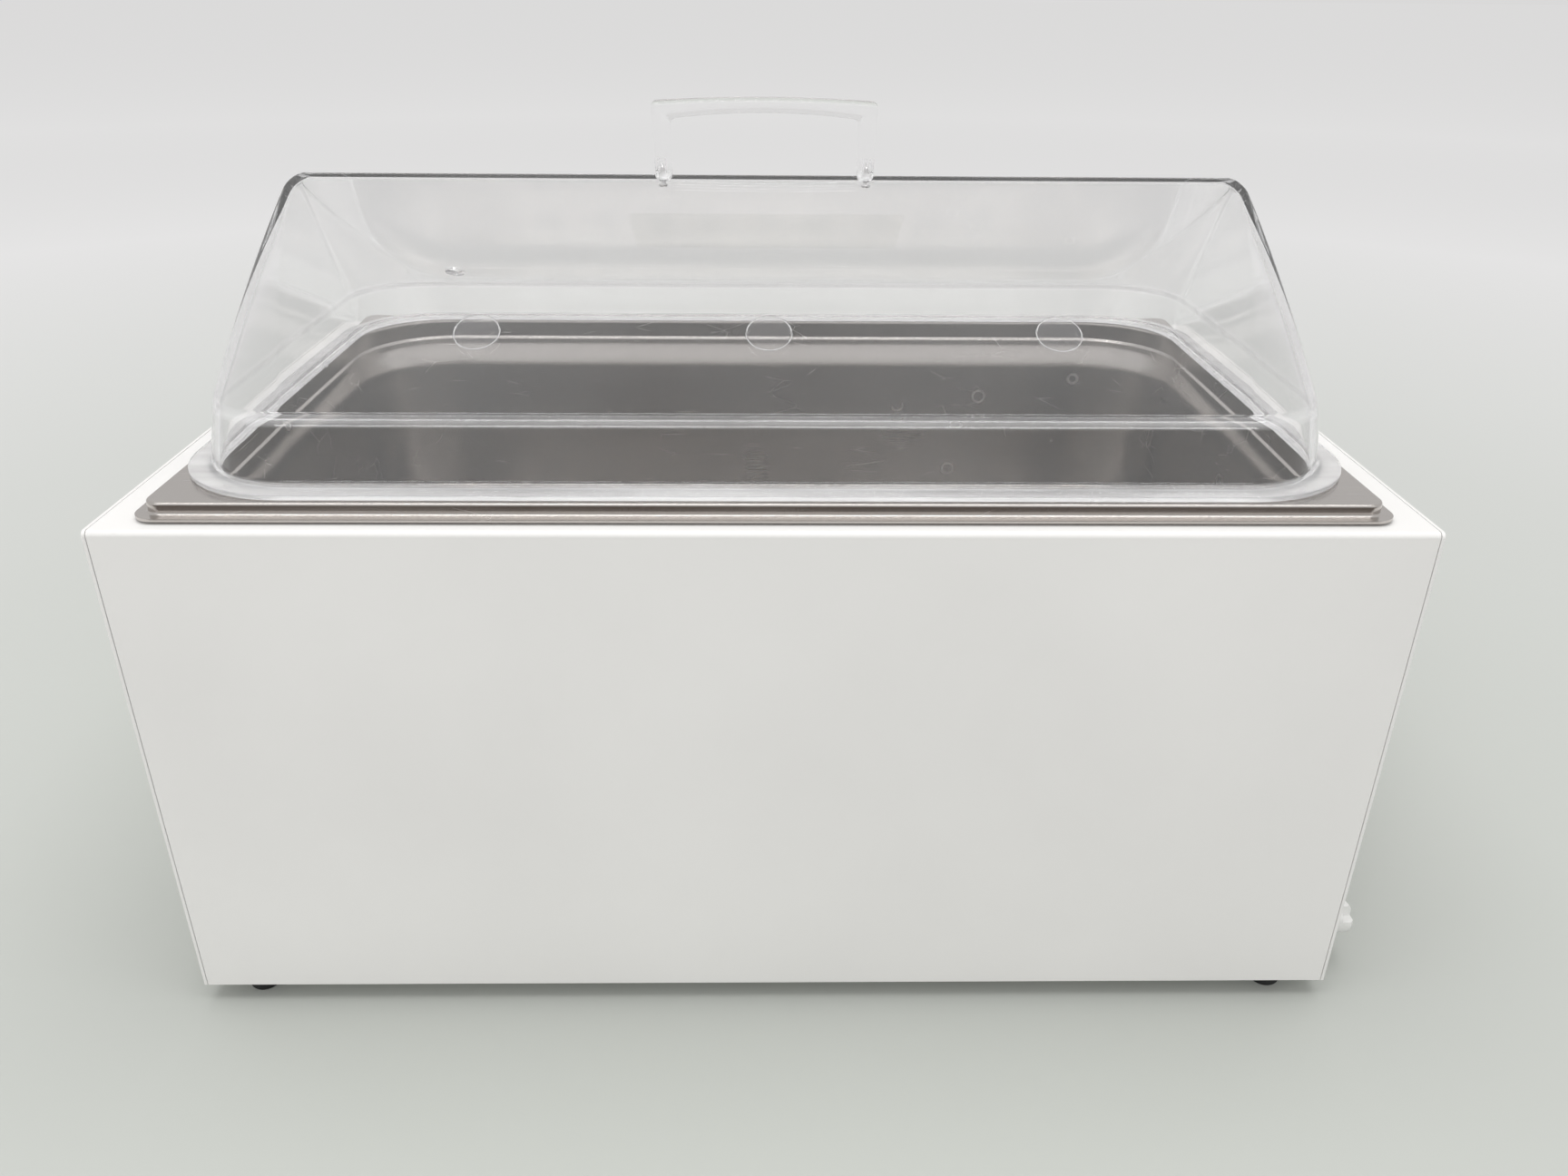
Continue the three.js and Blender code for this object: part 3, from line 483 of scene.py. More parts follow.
def clear(name, rough, haze=0.0, highlight_and_wear=(), frost_below=None):
    """Clear polycarbonate with hair scratches that lets lamps shine through it.

    Haze is how milky it is all over. The fourth argument lists heights, in millimetres, of whitened bands,
    as (height, reach, amount): the band at the crease is a painted highlight standing in for the glint of
    the overhead lamps, the one at the flange's foot is rubbing wear. Below frost_below the moulding is
    rough, as where a post is bonded on.
    """
    s = Shader(name)
    field = s.put("ShaderNodeMapping", Vector=s.place, Scale=(16, 30, 22), Rotation=(0.4, 0.2, 0.9))
    scratch = s.ramp(s.cells(1, "DISTANCE_TO_EDGE", field.outputs["Vector"]), 0.0, 0.004, 1, 0)
    scratch = s.math("MULTIPLY", scratch, s.ramp(s.noise(22, 2), 0.58, 0.66))
    height = s.put("ShaderNodeSeparateXYZ", Vector=s.place).outputs["Z"]
    milky = s.ramp(s.noise(5, 2), 0.3, 0.7, haze * 0.7, haze * 1.3)
    patches = s.ramp(s.noise(1, 4, s.stretched(12, 90, 90)), 0.35, 0.65, 0.6, 1.0)
    # Each listed band whitens the sheet: painted highlight at the crease, rubbing wear at the flange's foot.
    for middle_height, reach, amount in highlight_and_wear:
        away = s.math("ABSOLUTE", s.math("SUBTRACT", height, middle_height * MM))
        band = s.math("MULTIPLY", s.ramp(away, 0.4 * reach * MM, reach * MM, amount, 0.0), patches)
        milky = s.math("MAXIMUM", milky, band)
    roughness = s.ramp(s.noise(30, 3), 0.3, 0.7, rough, rough + 0.015)
    roughness = s.math("ADD", roughness, s.math("MULTIPLY", scratch, 0.2))
    if frost_below is not None:
        frost = s.ramp(height, (frost_below - 0.6) * MM, (frost_below + 0.2) * MM, 0.35, 0.0)
        roughness = s.math("MAXIMUM", roughness, frost)
        milky = s.math("MAXIMUM", milky, s.math("MULTIPLY", frost, 0.8))
    s.set(
        Transmission_Weight=s.math("SUBTRACT", 1.0, milky), IOR=1.36, Roughness=roughness,
        Base_Color=colour(253, 253, 253))
    s.bump(s.math("ADD", s.noise(12, 1), s.math("MULTIPLY", scratch, 0.02)), 0.05, 0.4)
    light = s.put("ShaderNodeLightPath")
    through = s.put("ShaderNodeBsdfTransparent", Color=(0.93, 0.93, 0.94, 1))
    choice = s.put("ShaderNodeMixShader", Fac=light.outputs["Is Shadow Ray"])
    s.tree.links.new(s.surface.outputs["BSDF"], choice.inputs[1])
    s.tree.links.new(through.outputs["BSDF"], choice.inputs[2])
    s.tree.links.new(choice.outputs["Shader"], s.output.inputs["Surface"])
    return s.material


def label_film():
    """A blank clear sticker: mostly see-through, with a slightly milky face."""
    s = Shader("label_film")
    s.set(Base_Color=colour(246, 246, 244), Roughness=s.ramp(s.noise(60, 3), 0.3, 0.7, 0.16, 0.26))
    through = s.put("ShaderNodeBsdfTransparent", Color=(0.985, 0.985, 0.98, 1))
    choice = s.put("ShaderNodeMixShader", Fac=0.03)
    s.tree.links.new(through.outputs["BSDF"], choice.inputs[1])
    s.tree.links.new(s.surface.outputs["BSDF"], choice.inputs[2])
    s.tree.links.new(choice.outputs["Shader"], s.output.inputs["Surface"])
    return s.material


def plastic(name, tint, rough, grain=900, depth=0.06):
    """Moulded plastic with a fine spark texture."""
    s = Shader(name)
    grains = s.noise(grain, 3)
    dark = tuple(0.92 * part for part in tint[:3]) + (1,)
    s.set(Base_Color=s.mix(s.ramp(s.noise(45, 3), 0.3, 0.7), dark, tint))
    s.set(Roughness=s.ramp(grains, 0.3, 0.7, rough - 0.05, rough + 0.07))
    s.bump(grains, 0.25, depth)
    return s.material


def circuit_board():
    """Green solder mask over copper tracks, drawn by square cells."""
    s = Shader("circuit_board_mask")
    node = s.put(
        "ShaderNodeTexVoronoi", {"feature": "F1", "distance": "CHEBYCHEV"}, Vector=s.place, Scale=260)
    track = s.ramp(node.outputs["Distance"], 0.36, 0.42)
    s.set(Base_Color=s.mix(track, colour(22, 84, 48), colour(44, 120, 66)))
    s.set(Roughness=s.ramp(track, 0, 1, 0.3, 0.4))
    s.bump(track, 0.3, 0.04)
    return s.material


def foam():
    s = Shader("insulation_foam")
    cell = s.cells(420)
    s.set(Base_Color=s.mix(cell, colour(196, 184, 142), colour(224, 214, 176)))
    s.set(Roughness=s.ramp(cell, 0, 1, 0.85, 0.95))
    s.bump(cell, 0.6, 0.4)
    return s.material


def heater():
    """Orange silicone sheet with the heating track showing as low ridges."""
    s = Shader("heater_silicone")
    wave = s.put(
        "ShaderNodeTexWave", {"wave_type": "BANDS", "bands_direction": "Y"}, Vector=s.place, Scale=24)
    line = s.ramp(wave.outputs["Fac"], 0.35, 0.65)
    s.set(Base_Color=s.mix(line, colour(150, 66, 36), colour(184, 86, 48)))
    s.set(Roughness=s.ramp(s.noise(300), 0, 1, 0.6, 0.8))
    s.bump(line, 0.4, 0.3)
    return s.material


def glow(name, tint, strength):
    """Lit display digits."""
    s = Shader(name)
    patch = s.noise(900, 1)
    s.set(Base_Color=tint, Emission_Color=tint, Emission_Strength=strength)
    s.set(Roughness=s.ramp(patch, 0, 1, 0.3, 0.4))
    return s.material


COAT = powder_coat()
# The tank sheet is darker towards the bottom: fully from 50 mm below the rim, fading out by 22 mm below it.
TANK_STEEL = steel("stainless_tank", (0.57, 0.54, 0.515, 1), 0.22, 0.7,
                   (RIM_TOP - 50, RIM_TOP - 22, (0.37, 0.335, 0.305, 1)))
FITTING_STEEL = steel("stainless_fittings", (0.63, 0.61, 0.59, 1), 0.24, 0.4)
SCREW_STEEL = metal("screw_steel", (0.80, 0.79, 0.79, 1), 0.32)
ZINC = metal("zinc_plate", (0.58, 0.59, 0.60, 1), 0.38)
ALUMINIUM = metal("aluminium", (0.70, 0.71, 0.72, 1), 0.36)
BRASS = metal("brass", (0.66, 0.48, 0.22, 1), 0.30)
# Whitened bands of the lid: at the crease a painted highlight for the overhead lamps' glint, at the flange's
# foot rubbing wear.
CLEAR = clear("clear_polycarbonate", 0.0, 0.05, [(CREASE_Z - 1.5, 2.2, 0.22), (lid_low.z, 3.4, 0.42)])
GRIP_CLEAR = clear("clear_handle", 0.0, 0.02, frost_below=RIDGE_Z + 2.3)
FROSTED = clear("clear_disc", 0.015, 0.01)
FILM = label_film()
RUBBER = plastic("black_rubber", colour(30, 30, 31), 0.72, 500, 0.10)
SILICONE = plastic("silicone_seal", colour(126, 96, 80), 0.5)
HOSE = plastic("silicone_hose", colour(214, 206, 192), 0.42)
WHITE_PLASTIC = plastic("white_plastic", colour(232, 232, 230), 0.34)
GREY_PLASTIC = plastic("fascia_plastic", colour(120, 126, 132), 0.46)
BLACK_PLASTIC = plastic("black_plastic", colour(34, 34, 36), 0.42)
BLUE_PLASTIC = plastic("button_plastic", colour(52, 96, 146), 0.4)
WINDOW = plastic("display_window", colour(20, 16, 18), 0.08, 200, 0.005)
PRINT = plastic("white_print", colour(236, 237, 238), 0.5)
BOARD = circuit_board()
FOAM = foam()
HEATER = heater()
DIGITS = glow("display_digits", colour(255, 64, 40), 2.2)


# ------------------------------------------------------------------ case
def case_pieces():
    """The folded shell, its two end panels and the fasteners that hold them."""
    refined("case_wrap", COAT, 0.35)
    refined("end_panel_right", COAT, 0.3)
    refined("end_panel_left", COAT, 0.3)
    refined("base_plate", ZINC, 0.15)
    screw_y = SIDE_Y - 12
    head = lathe([(0, -0.4), (3.3, -0.4), (3.3, 0.2), (3.1, 0.9), (2.4, 1.5), (1.2, 1.85), (0, 1.9)], 32)
    cross = [block((-2.1, -0.35, 0.9), (2.1, 0.35, 3)), block((-0.35, -2.1, 0.9), (0.35, 2.1, 3))]
    for end, face, sign in (("right", right_high.x, 1), ("left", left_low.x, -1)):
        for y in (-screw_y, screw_y):
            for z in (CASE_BOTTOM + 18, CASE_TOP - 16):
                turn = ALONG_X if sign > 0 else Matrix(((0, 0, -1), (0, 1, 0), (1, 0, 0)))
                role = f"{'back' if y > 0 else 'front'}_{'top' if z > CASE_TOP / 2 else 'bottom'}"
                from_shape(
                    f"panel_screw_{end}_{role}", placed(head, (face, y, z), turn), ZINC, "case",
                    cutters=[placed(slot, (face, y, z), turn) for slot in cross])


def foot_pieces():
    """Turned rubber feet with a waist and a moulded lower lip, and their screws."""
    for corner in ("front_left", "front_right", "back_left", "back_right"):
        node = f"foot_{corner}"
        low, high = span(node)
        spot = (middle(node).x, middle(node).y, 0)
        radius = (high.x - low.x) / 2
        top = high.z
        profile = [
            (2.4, top), (2.4, 4.5), (4.2, 4.5), (4.4, 4.3), (4.4, 0.4), (4.8, 0.0), (6.4, 0.0),
            (7.1, 0.3), (7.7, 1.2),
            (8.0, 3.4), (radius, 6.0), (radius, top - 0.5), (radius - 0.5, top)]
        shape = placed(lathe(profile, 48, closed=True), spot)
        from_shape(f"{node}_rubber", shape, RUBBER, "case", (node,))
        refined(f"foot_screw_{corner}", ZINC, 0.15)


# ------------------------------------------------------------------ tank
def tank_path():
    """The inner face from floor to rim edge: outward from the neck, height, corner radius, reach."""
    flange_top = CASE_TOP + RIM_LIFT + SHEET
    return [
        (-FLOOR_INSET - FLOOR_RADIUS, TANK_FLOOR, NECK_RADIUS - FLOOR_INSET - FLOOR_RADIUS, 0),
        (-FLOOR_INSET, TANK_FLOOR, NECK_RADIUS - FLOOR_INSET, FLOOR_RADIUS),
        (-5, RIM_TOP - SHOULDER_DROP - 9, NECK_RADIUS - 5, 5),
        (-1.5, RIM_TOP - SHOULDER_DROP, NECK_RADIUS - 1, 4),
        (-1.1, RIM_TOP - STEP_DROP - 0.8, NECK_RADIUS - 1, 0.5),
        (0, RIM_TOP - STEP_DROP, NECK_RADIUS, 0.7),
        (0, RIM_TOP, NECK_RADIUS, 2.6),
        (3, RIM_TOP, NECK_RADIUS + 3, 0),
        (RIM_RISER - 1.8, RIM_TOP, 7, 0),
        (RIM_RISER, RIM_TOP, 7, 1.6),
        (RIM_RISER, flange_top, 7.5, 1.3),
        (RIM_OVERHANG, flange_top, 10, 0),
    ]


def offset_path(path, distance):
    """The path moved one sheet down and out, along the mean of its two edge normals."""
    flat = [Vector((out, z)) for out, z, _, _ in path]
    normals = []
    for first, second in zip(flat, flat[1:]):
        along = (second - first).normalized()
        normals.append(Vector((along.y, -along.x)))
    made = []
    for index, (point, (_, _, radius, reach)) in enumerate(zip(flat, path)):
        before = normals[max(index - 1, 0)]
        after = normals[min(index, len(normals) - 1)]
        mean = (before + after).normalized()
        out, z = point + mean * (distance / mean.dot(after))
        made.append((out, z, radius, reach))
    return made


def tank_rings(path):
    rings = [ring(NECK_X + out, NECK_Y + out, radius, z) for out, z, radius, _ in path]
    return softened(rings, [reach for _, _, _, reach in path], 6)


def tank_pieces():
    inside = tank_rings(tank_path())
    outside = tank_rings(offset_path(tank_path(), SHEET))
    drain = middle("drain_fitting")
    hole = prism(disc(8, 40, (drain.x, drain.y)), TANK_FLOOR - 8, TANK_FLOOR + 8)
    from_shape("tank_pressing", loft(outside + inside[::-1]), TANK_STEEL, "case", ("tank",),
               cutters=[hole], smooth=50)
    seal = [
        ring(NECK_X + out, NECK_Y + out, 11, CASE_TOP + z)
        for out, z in ((11, 0.25), (12.1, 0.35), (12.4, 0.7), (12.1, 1.0), (11, 1.05), (8, 1.05), (8, 0.25))]
    from_shape("tank_seal_bead", loft(seal, closed=True), SILICONE, "case", ("tank_gasket",))
    refined("tank_insulation", FOAM, 0.8)
    base_tray()


def base_tray():
    """The perforated tray that stands on the tank floor, with rolled legs at its two ends."""
    low, high = span("base_tray")
    half_x, half_y = (high.x - low.x) / 2, high.y
    top = prism([(CENTRE_X + x, y) for x, y in outline(half_x, half_y, 6, 6)], high.z - SHEET, high.z)
    holes = [
        prism(disc(9, 32, (CENTRE_X + 40 * column, 38 * row)), high.z - 5, high.z + 5)
        for column in range(-4, 5) for row in range(-2, 3)]
    legs = []
    for sign in (-1, 1):
        outer, inner = CENTRE_X + sign * half_x, CENTRE_X + sign * (half_x - SHEET)
        near_corner = (min(outer, inner), 8 - half_y, low.z)
        far_corner = (max(outer, inner), half_y - 8, high.z - 0.6)
        legs.append(block(near_corner, far_corner))
    mesh = cut_mesh(to_mesh("tray_top", top), holes)
    shell = bmesh.new()
    shell.from_mesh(mesh)
    shell.from_mesh(to_mesh("tray_legs", joined(*legs)))
    shell.to_mesh(mesh)
    shell.free()
    make("base_tray_sheet", eased_edges(mesh, 0.3), FITTING_STEEL, "tray", ("base_tray",))


# ------------------------------------------------------------------ lid
def roof_ring(share, inward):
    """A ring of the roof, from 0 at the crease to 1 at the ridge, for the outer or the inner face."""
    def between(first, second):
        return first + (second - first) * share
    bow = ROOF_BOW * math.sin(math.pi * share)
    over = max(1 - (1 - share) * (RIDGE_Z - CREASE_Z) / RIDGE_ROUND, 0)
    curl = RIDGE_ROUND * (1 - math.sqrt(1 - over ** 2))
    half_x = between(CREASE_X, RIDGE_X) - inward + bow - curl
    half_y = between(CREASE_Y - inward * 0.85, RIDGE_Y)
    radius = min(max((CREASE_RADIUS - inward) * (1 - share) ** 1.25, 0.9), half_y - 0.05)
    thick = LID_WALL / math.cos(ROOF_ANGLE)
    drop = between(thick - 1.58, thick) if inward else 0
    return ring(half_x, half_y, radius, CREASE_Z + (RIDGE_Z - CREASE_Z) * share - drop)


def slope_turn(side):
    """Turns Z to a roof slope's normal. Side is -1 for the front and 1 for the back."""
    return Matrix.Rotation(-side * ROOF_ANGLE, 3, "X")


def slope_spot(side, x, distance, depth):
    """A point depth below the outer roof face, distance out from the ridge line."""
    z = RIDGE_Z - (distance - RIDGE_Y) * math.tan(ROOF_ANGLE)
    return (x, side * (distance - depth * math.sin(ROOF_ANGLE)), z - depth * math.cos(ROOF_ANGLE))


def lid_rings():
    bottom, flange_top = lid_low.z, lid_low.z + FLANGE_THICK
    shares = [step / 12 for step in range(1, 11)]
    for step in range(1, 8):
        rise = math.sin(math.radians(11.5 * step))
        shares.append(1 - RIDGE_ROUND * (1 - rise) / (RIDGE_Z - CREASE_Z))
    wall = LID_WALL
    ridge_end = RIDGE_X - RIDGE_ROUND
    outer = [
        ring(FLANGE_X - 1, FLANGE_Y - 1, FLANGE_RADIUS - 1, bottom),
        ring(FLANGE_X, FLANGE_Y, FLANGE_RADIUS, bottom),
        ring(FLANGE_X, FLANGE_Y, FLANGE_RADIUS, flange_top),
        ring(SKIRT_X, SKIRT_Y, SKIRT_RADIUS, flange_top),
        roof_ring(0, 0),
        *(roof_ring(share, 0) for share in shares),
        ring(ridge_end, 1.2, 1.15, RIDGE_Z - 0.35),
        ring(ridge_end - 0.4, 0.6, 0.55, RIDGE_Z - 0.08),
        ring(ridge_end - 0.8, 0.15, 0.12, RIDGE_Z),
    ]
    outer_reach = [0, 0.6, 0.6, 3.8, 4.5] + [0] * (len(outer) - 5)
    inner = [
        ring(SKIRT_X - wall, SKIRT_Y - wall, SKIRT_RADIUS - wall, bottom),
        roof_ring(0, wall),
        *(roof_ring(share, wall) for share in shares),
        roof_ring(1, wall),
    ]
    inner_reach = [0, 3.5] + [0] * (len(inner) - 2)
    return softened(outer, outer_reach, 6), softened(inner, inner_reach, 6)


def lid_pieces():
    outer, inner = lid_rings()
    half, edge = FILM_THICK / 2, 0.12
    profile = [
        (0, -half), (DISC_RADIUS - edge, -half), (DISC_RADIUS, edge - half), (DISC_RADIUS, half - 0.2),
        (DISC_RADIUS - 0.25, half), (DISC_RADIUS - 0.5, half - 0.05), (DISC_RADIUS - 0.7, 0), (0, 0)]
    for role in ("left", "centre", "right"):
        node = f"lid_disc_{role}"
        spot = slope_spot(-1, middle(node).x, 90.5, -half - FILM_GAP)
        shape = placed(lathe(profile, 64), spot, slope_turn(-1))
        from_shape(f"{node}_film", shape, FROSTED, "lid", (node,))
    cutters = []
    hole_spot = slope_spot(1, CENTRE_X - 188, 114.5, LID_WALL / 2)
    cutters.append(placed(prism(disc(THERMOMETER_RADIUS, 40), -6, 6), hole_spot, slope_turn(1)))
    for side in ("left", "right"):
        screw = middle(f"lid_handle_screw_{side}")
        cutters.append(prism(disc(1.9, 24, (screw.x, screw.y)), RIDGE_Z - 12, RIDGE_Z + 5))
    from_shape("lid_dome", loft(inner[::-1] + outer), CLEAR, "lid", ("lid_shell",),
               cutters=cutters, smooth=60)
    label = prism(outline(73.5, 23.5, 2, 6), -half, half)
    spot = slope_spot(1, CENTRE_X - 1, 61.8, -half - FILM_GAP)
    shape = placed(label, spot, slope_turn(1))
    from_shape("lid_label_film", shape, FILM, "lid", ("lid_label",))
    lid_handle()


def lid_handle():
    """A moulded clear handle: two round-edged posts astride the ridge, and a bowed grip between them."""
    low, high = span("lid_handle")
    centre = (low.x + high.x) / 2
    half, depth = (high.x - low.x) / 2, high.y
    post, taper, bar, bow, under_bow = 9.4, 1.4, 7.8, 1.8, 2.8
    corner = high.z - bow
    top, under = [], []
    for step in range(25):
        share = step / 12 - 1
        arch = 1 - share ** 2
        top.append((half * share, corner + bow * arch))
        under.append(((half - post) * share, corner - bar + under_bow * arch))
    shape = [
        (taper - half, low.z), *top, (half - taper, low.z), (half - post, low.z), *under[::-1],
        (post - half, low.z)]
    points, faces = prism(shape, -depth, depth)
    turned = [Vector((centre + point.x, point.z, point.y)) for point in points]
    mesh = eased_edges(to_mesh("lid_handle", (turned, faces)), 2.4, segments=6)
    slope = math.tan(ROOF_ANGLE)
    peak = RIDGE_Z + 0.45
    eaves = peak - 8.2 * slope
    notch = [(-0.8, peak), (0.8, peak), (9, eaves), (9, peak - 20), (-9, peak - 20), (-9, eaves)]
    cutters = [placed(prism(notch, -half - 5, half + 5), (centre, 0, 0), ACROSS_X)]
    for side in ("left", "right"):
        screw = middle(f"lid_handle_screw_{side}")
        cutters.append(prism(disc(1.9, 24, (screw.x, screw.y)), RIDGE_Z - 5, RIDGE_Z + 8))
    make("lid_handle_grip", cut_mesh(mesh, cutters), GRIP_CLEAR, "lid", ("lid_handle",))
    for side in ("left", "right"):
        node = f"lid_handle_screw_{side}"
        screw_low, screw_high = span(node)
        head_low, head_high = screw_low.z, screw_low.z + 1.4
        profile = [
            (0, head_low), (1.7, head_low), (2.1, head_low + 0.4), (2.2, head_high - 0.2), (2.1, head_high),
            (1.5, head_high), (1.5, screw_high.z - 3.5), (0, screw_high.z)]
        spot = (middle(node).x, middle(node).y, 0)
        shape = placed(lathe(profile, 32), spot)
        from_shape(f"{node}_steel", shape, SCREW_STEEL, "lid", (node,))


# ------------------------------------------------------------------ control panel
def mark(name, points, spot, material=None, body="case", lift=0.12):
    """A thin printed mark on the fascia, from a (y, z) outline."""
    shape = placed(prism(points, 0, lift), spot, ACROSS_X)
    return from_shape(name, shape, material or PRINT, body)


def control_pieces():
    face = fascia_high.x
    refined("control_fascia", GREY_PLASTIC, 0.4)
    refined("display_window", WINDOW, 0.15)
    refined("display_module", BLACK_PLASTIC, 0.3)
    refined("control_board", BOARD, 0.1)
    triangle = [(-2.2, -1.7), (2.2, -1.7), (0, 2.2)]
    signs = {"set": disc(1.5, 24), "down": [(y, -z) for y, z in triangle][::-1], "up": triangle}
    for role, sign in signs.items():
        node = f"button_{role}"
        low, high = span(node)
        spot = middle(node)
        radius = 5.5
        profile = [
            (0, low.x), (radius, low.x), (radius, fascia_low.x - 2.1), (6.9, fascia_low.x - 2.1),
            (6.9, fascia_low.x - 0.3), (radius, fascia_low.x - 0.3), (radius, high.x - 0.7),
            (radius - 0.2, high.x - 0.25), (radius - 0.7, high.x), (4.2, high.x), (2.5, high.x - 0.35),
            (0, high.x - 0.45)]
        from_shape(f"{node}_cap", placed(lathe(profile, 48), (0, spot.y, spot.z), ALONG_X), BLUE_PLASTIC,
                   f"{role}_button", (node,))
        mark(f"{node}_sign", sign, (high.x - 0.42, spot.y, spot.z), body=f"{role}_button", lift=0.3)
        refined(f"button_switch_{role}", BLACK_PLASTIC, 0.2)
    display_digits()
    refined("power_switch_housing", BLACK_PLASTIC, 0.3)
    refined("power_rocker", BLACK_PLASTIC, 0.3)
    dial_pieces(face)


def display_digits():
    """Three seven-segment digits behind the window, reading 37.0."""
    high = span("display_window")[1]
    segments = {
        "a": (0, 1, True), "g": (0, 0, True), "d": (0, -1, True),
        "f": (-0.5, 0.5, False), "b": (0.5, 0.5, False), "e": (-0.5, -0.5, False), "c": (0.5, -0.5, False)}
    lit = {"3": "abgcd", "7": "abc", "0": "abcdef"}
    width, height, stroke = 7.0, 6.2, 0.75
    shapes = []
    centre = middle("display_window")
    for place, digit in enumerate("370"):
        left = centre.y + (place - 1) * 11.5
        for segment in lit[digit]:
            across, up, level = segments[segment]
            y, z = left + across * width, centre.z + up * height
            half_y, half_z = (width / 2 - 0.7, stroke) if level else (stroke, height / 2 - 0.7)
            points = [(y + u, z + v) for u, v in outline(half_y, half_z, 0.5, 3)]
            shapes.append(placed(prism(points, high.x + 0.02, high.x + 0.12), (0, 0, 0), ACROSS_X))
    dot = disc(0.9, 16, (centre.y + 5.9, centre.z - height))
    shapes.append(placed(prism(dot, high.x + 0.02, high.x + 0.12), (0, 0, 0), ACROSS_X))
    from_shape("display_digits", joined(*shapes), DIGITS, "case")


def dial_pieces(face):
    """The over-temperature knob with its ribbed grip and pointer, and a printed scale round it."""
    low, high = span("thermostat_dial")
    spot = middle("thermostat_dial")
    refined("thermostat_body", ZINC, 0.3)
    skirt = [
        (3.3, low.x), (11.4, low.x), (12, low.x + 0.5), (12, low.x + 1.8), (11.4, low.x + 2.4),
        (9.6, low.x + 2.6)]
    ribs = 24
    rings = []
    for radius, x in skirt:
        rings.append([Vector((x, u, v)) for u, v in disc(radius, ribs * 4)])
    for radius, x, depth in ((9.5, low.x + 3, 0.5), (9.2, high.x - 0.8, 0.5), (8.6, high.x - 0.1, 0.3)):
        points = []
        for side in range(ribs * 4):
            angle = 2 * math.pi * side / (ribs * 4)
            now = radius - depth * (0.5 + 0.5 * math.cos(ribs * angle))
            points.append(Vector((x, now * math.cos(angle), now * math.sin(angle))))
        rings.append(points)
    rings.append([Vector((high.x, u, v)) for u, v in disc(7.6, ribs * 4)])
    rings.append([Vector((high.x - 0.5, u, v)) for u, v in disc(6.4, ribs * 4)])
    rings.append([Vector((high.x - 0.5, u, v)) for u, v in disc(0.5, ribs * 4)])
    rings.append([Vector((high.x - 2.5, u, v)) for u, v in disc(0.5, ribs * 4)])
    rings.append([Vector((KNOB_BORE_END, u, v)) for u, v in disc(3.3, ribs * 4)])
    knob = placed(loft(rings, closed=True), (0, spot.y, spot.z))
    from_shape("thermostat_knob", knob, BLACK_PLASTIC, "dial", ("thermostat_dial",))
    pointer = [(-0.5, 2.5), (0.5, 2.5), (0.5, 7.4), (-0.5, 7.4)]
    mark("thermostat_pointer", pointer, (high.x - 0.5, spot.y, spot.z), body="dial", lift=0.35)
    ticks = []
    for step in range(11):
        angle = math.radians(225 - 27 * step)
        inner, outer = 13.2, 15.6 if step % 5 == 0 else 14.6
        across = Vector((-math.sin(angle), math.cos(angle))) * 0.3
        along = Vector((math.cos(angle), math.sin(angle)))
        near, far = along * inner, along * outer
        corners = [near - across, far - across, far + across, near + across]
        ticks.append(placed(prism([tuple(c) for c in corners], 0, 0.1), (face, spot.y, spot.z), ACROSS_X))
    from_shape("thermostat_scale", joined(*ticks), PRINT, "case")


# ------------------------------------------------------------------ drain and inlet
def drain_pieces():
    refined("drain_fitting", BRASS, 0.2)
    refined("drain_fitting_seal", SILICONE, 0.2)
    refined("drain_fitting_nut", BRASS, 0.3)
    refined("drain_hose", HOSE, 0.1)
    refined("drain_tap_body", WHITE_PLASTIC, 0.3)
    refined("drain_tap_nut", WHITE_PLASTIC, 0.4)
    refined("drain_tap_knob", WHITE_PLASTIC, 0.4)


def inlet_pieces():
    refined("mains_inlet", BLACK_PLASTIC, 0.3)
    for role in ("line", "neutral", "earth"):
        refined(f"inlet_pin_{role}", BRASS, 0.4)
    refined("fuse_drawer", BLACK_PLASTIC, 0.3)
    refined("fuse", BRASS, 0.2)
    refined("rating_plate", ALUMINIUM, 0.1)


def hidden_pieces():
    """Heating, sensing and power parts that sit between the tank and the case."""
    refined("heater_mat", HEATER, 0.4)
    refined("heater_clamp_plate", ALUMINIUM, 0.3)
    refined("temperature_probe", FITTING_STEEL, 0.3)
    refined("probe_clip", FITTING_STEEL, 0.2)
    refined("thermal_cutout", BLACK_PLASTIC, 0.3)
    refined("heater_lead", RUBBER, 0.05)
    refined("mains_transformer", BLACK_PLASTIC, 0.6)
    refined("triac_heatsink", ALUMINIUM, 0.2)


# ------------------------------------------------------------------ stage, light and camera
FLOOR_REACH = 240
WORLD_STRENGTH = 0.70
STRIP_POWER_PER_WIDTH = 70
LENS = 27.68
EYE = (-0.01079, -0.62284, 0.45803)
PITCH = 26.54
YAW = 1.0
ROLL = 0.49


def stage_floor():
    """A pale round floor that lightens, and glows a little, away from the bath."""
    s = Shader("stage_paper")
    axes = s.put("ShaderNodeSeparateXYZ", Vector=s.place)
    across = s.math("MULTIPLY", axes.outputs["X"], axes.outputs["X"])
    along = s.math("MULTIPLY", axes.outputs["Y"], axes.outputs["Y"])
    away = s.math("SQRT", s.math("ADD", across, along))
    near = s.mix(s.noise(2, 2), colour(186, 189, 184), colour(190, 193, 188))
    s.set(Base_Color=s.mix(s.ramp(away, 0.3, 2.2), near, colour(232, 232, 232)))
    s.set(Roughness=s.ramp(s.noise(5), 0.3, 0.7, 0.8, 0.9), Specular_IOR_Level=0.0)
    s.set(Emission_Color=(1, 1, 1, 1), Emission_Strength=s.ramp(away, 0.9, 4.5, 0.0, 0.145))
    sides = 64
    mesh = bpy.data.meshes.new("stage_floor")
    rim = [Vector((x, y, 0)) for x, y in disc(FLOOR_REACH, sides)]
    mesh.from_pydata(rim, [], [tuple(range(sides))])
    mesh.materials.append(s.material)
    floor = bpy.data.objects.new("stage_floor", mesh)
    bpy.context.scene.collection.objects.link(floor)


